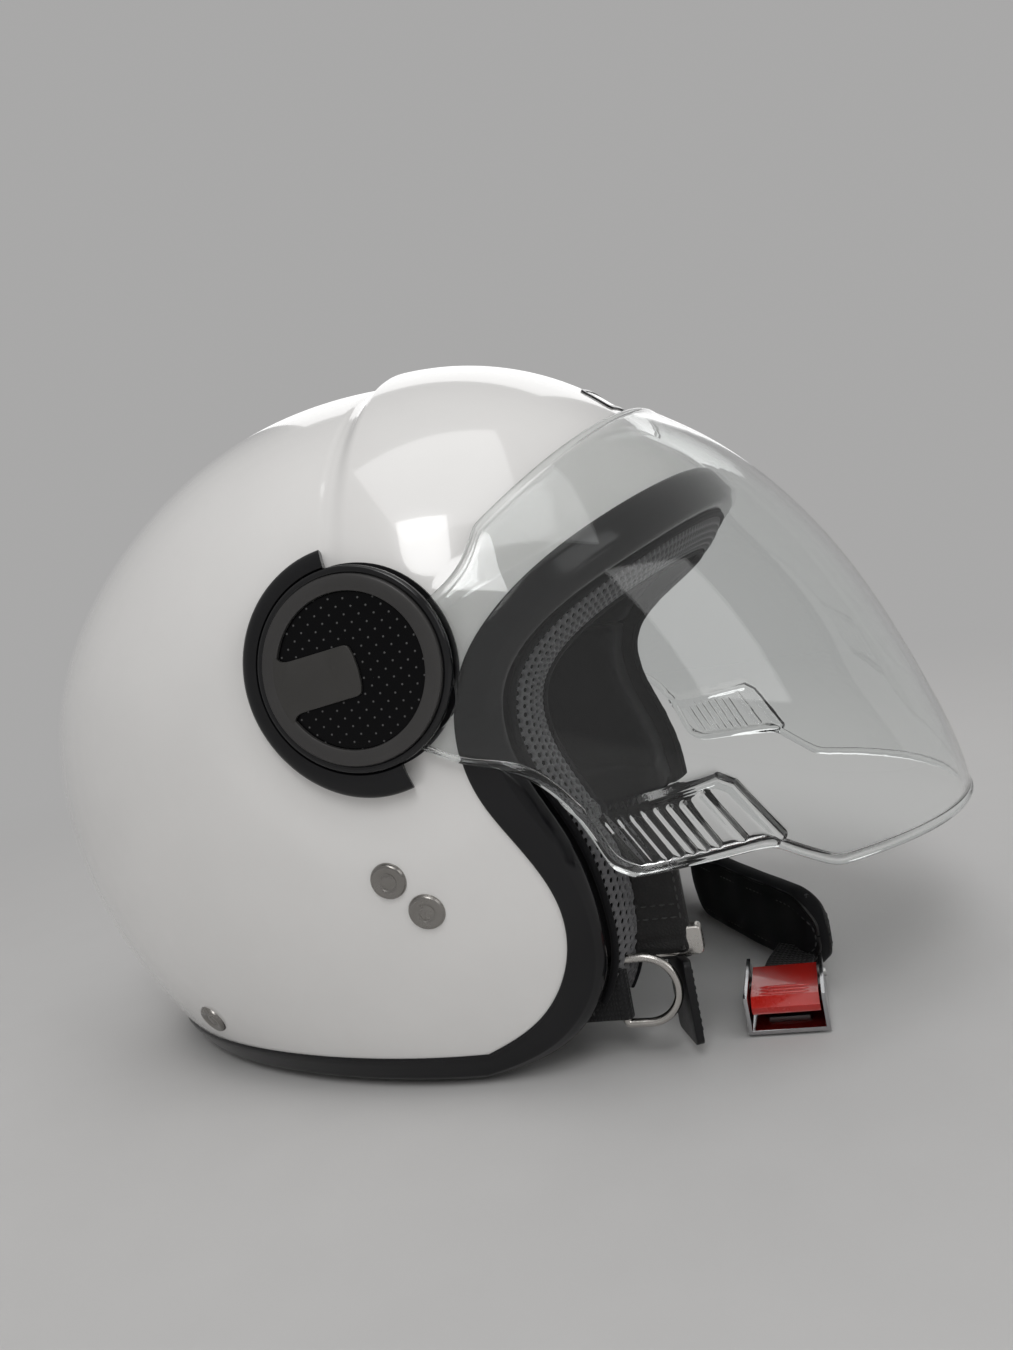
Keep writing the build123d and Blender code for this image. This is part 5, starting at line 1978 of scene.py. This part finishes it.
@dataclass
class Studio:
    """Camera, lights and floor."""

    location: tuple = (-0.3787, -0.1206, 0.1389)
    right: tuple = (0.2633, -0.9464, -0.1871)
    down: tuple = (-0.1068, 0.1641, -0.9806)
    focal_pixels: float = 1014.0
    image: tuple = (1013, 1350)
    backdrop: tuple = (0.395, 0.392, 0.39)

    def camera(self) -> None:
        """Camera that looks at the helmet's right side, a little from the front."""
        data = bpy.data.cameras.new("camera")
        data.sensor_fit = "VERTICAL"
        data.sensor_height = 24.0
        data.lens = data.sensor_height * self.focal_pixels / self.image[1]
        data.clip_start = 0.01
        data.clip_end = 50
        right = Vector(self.right).normalized()
        up = -Vector(self.down)
        up = (up - right * up.dot(right)).normalized()
        back = right.cross(up)
        obj = bpy.data.objects.new("camera", data)
        bpy.context.scene.collection.objects.link(obj)
        obj.matrix_world = Matrix((
            (right.x, up.x, back.x, self.location[0]),
            (right.y, up.y, back.y, self.location[1]),
            (right.z, up.z, back.z, self.location[2]),
            (0, 0, 0, 1),
        ))
        bpy.context.scene.camera = obj

    def light(self, name: str, spot: tuple, power: float, size: tuple, target: tuple = (0, 0, 0.12)) -> None:
        """Soft rectangular light that faces the helmet.

        Args:
            name: The object's name.
            spot: Its place, in metres.
            power: Its power, in watts.
            size: Its two sides, in metres.
            target: The point that it faces.
        """
        data = bpy.data.lights.new(name, "AREA")
        data.shape = "RECTANGLE"
        data.size, data.size_y = size
        data.energy = power
        obj = bpy.data.objects.new(name, data)
        bpy.context.scene.collection.objects.link(obj)
        obj.location = spot
        obj.rotation_euler = (Vector(target) - Vector(spot)).to_track_quat("-Z", "Y").to_euler()

    def build(self) -> None:
        """Set the whole studio up."""
        self.camera()
        self.light("window", (-1.2, -0.25, 1.15), 5.0, (0.5, 0.7))
        self.light("overhead", (-0.5, -0.3, 1.6), 6.0, (1.3, 1.3))
        self.light("front", (-0.7, -1.7, 0.9), 3.6, (0.9, 0.9))
        self.light("far_side", (1.5, 0.3, 1.0), 3.6, (1.2, 1.2))
        world = bpy.data.worlds.new("studio")
        world.use_nodes = True
        ground = world.node_tree.nodes["Background"]
        ground.inputs["Color"].default_value = (*self.backdrop, 1)
        ground.inputs["Strength"].default_value = 1.0
        bpy.context.scene.world = world
        bpy.context.scene.view_settings.view_transform = "Standard"
        floor_mesh = bpy.data.meshes.new("floor")
        reach = 30.0
        corners = [(-reach, -reach, 0), (reach, -reach, 0), (reach, reach, 0), (-reach, reach, 0)]
        floor_mesh.from_pydata(corners, [], [(0, 1, 2, 3)])
        floor = bpy.data.objects.new("floor", floor_mesh)
        bpy.context.scene.collection.objects.link(floor)
        floor.location.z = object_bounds()[0][2]
        floor.data.materials.append(self.floor_material())
        floor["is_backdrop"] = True

    def floor_material(self) -> bpy.types.Material:
        """Pale floor that turns into the colour of the surroundings some way off."""
        finish = Finish("pale_floor", (0.6, 0.595, 0.59), 0.75, Grain.STIPPLE, relief=0.04, relief_size=2.0,
                        mottle=0.01)
        maker = MaterialMaker(finish)
        material = maker.build()
        surface = next(node for node in maker.nodes if node.bl_idname == "ShaderNodeOutputMaterial").inputs[0]
        near = surface.links[0].from_socket
        place = maker.add("ShaderNodeTexCoord").outputs["Object"]
        distance = maker.add("ShaderNodeVectorMath", {0: place}, operation="LENGTH").outputs["Value"]
        share = maker.add("ShaderNodeMapRange", {"Value": distance, 1: 0.3, 2: 1.3, 3: 0.0, 4: 1.0},
                          interpolation_type="SMOOTHSTEP").outputs[0]
        far = maker.add("ShaderNodeEmission", {"Color": (*self.backdrop, 1), "Strength": 1.0}).outputs[0]
        mixed = maker.add("ShaderNodeMixShader", {0: share, 1: near, 2: far}).outputs[0]
        maker.links.new(mixed, surface)
        return material


def main() -> None:
    """Build every sub-assembly in order."""
    logging.basicConfig(level=logging.INFO, format="%(name)s %(message)s")
    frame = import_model()
    FRAME_NODES.update(frame["nodes"])
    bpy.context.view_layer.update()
    Studio().build()
    edges = EdgeLines()
    PaintedShell(edges).dress()
    Edging(edges).dress()
    ClearVisor().dress()
    for name, side in SIDES.items():
        SideCover(name, side).dress()
    Hardware().dress()
    ComfortLiner().dress()
    SpacerStrip().dress()
    RightStrap().dress()
    LeftStrap().dress()
    LeverBuckle().dress()


if __name__ == "__main__":
    main()
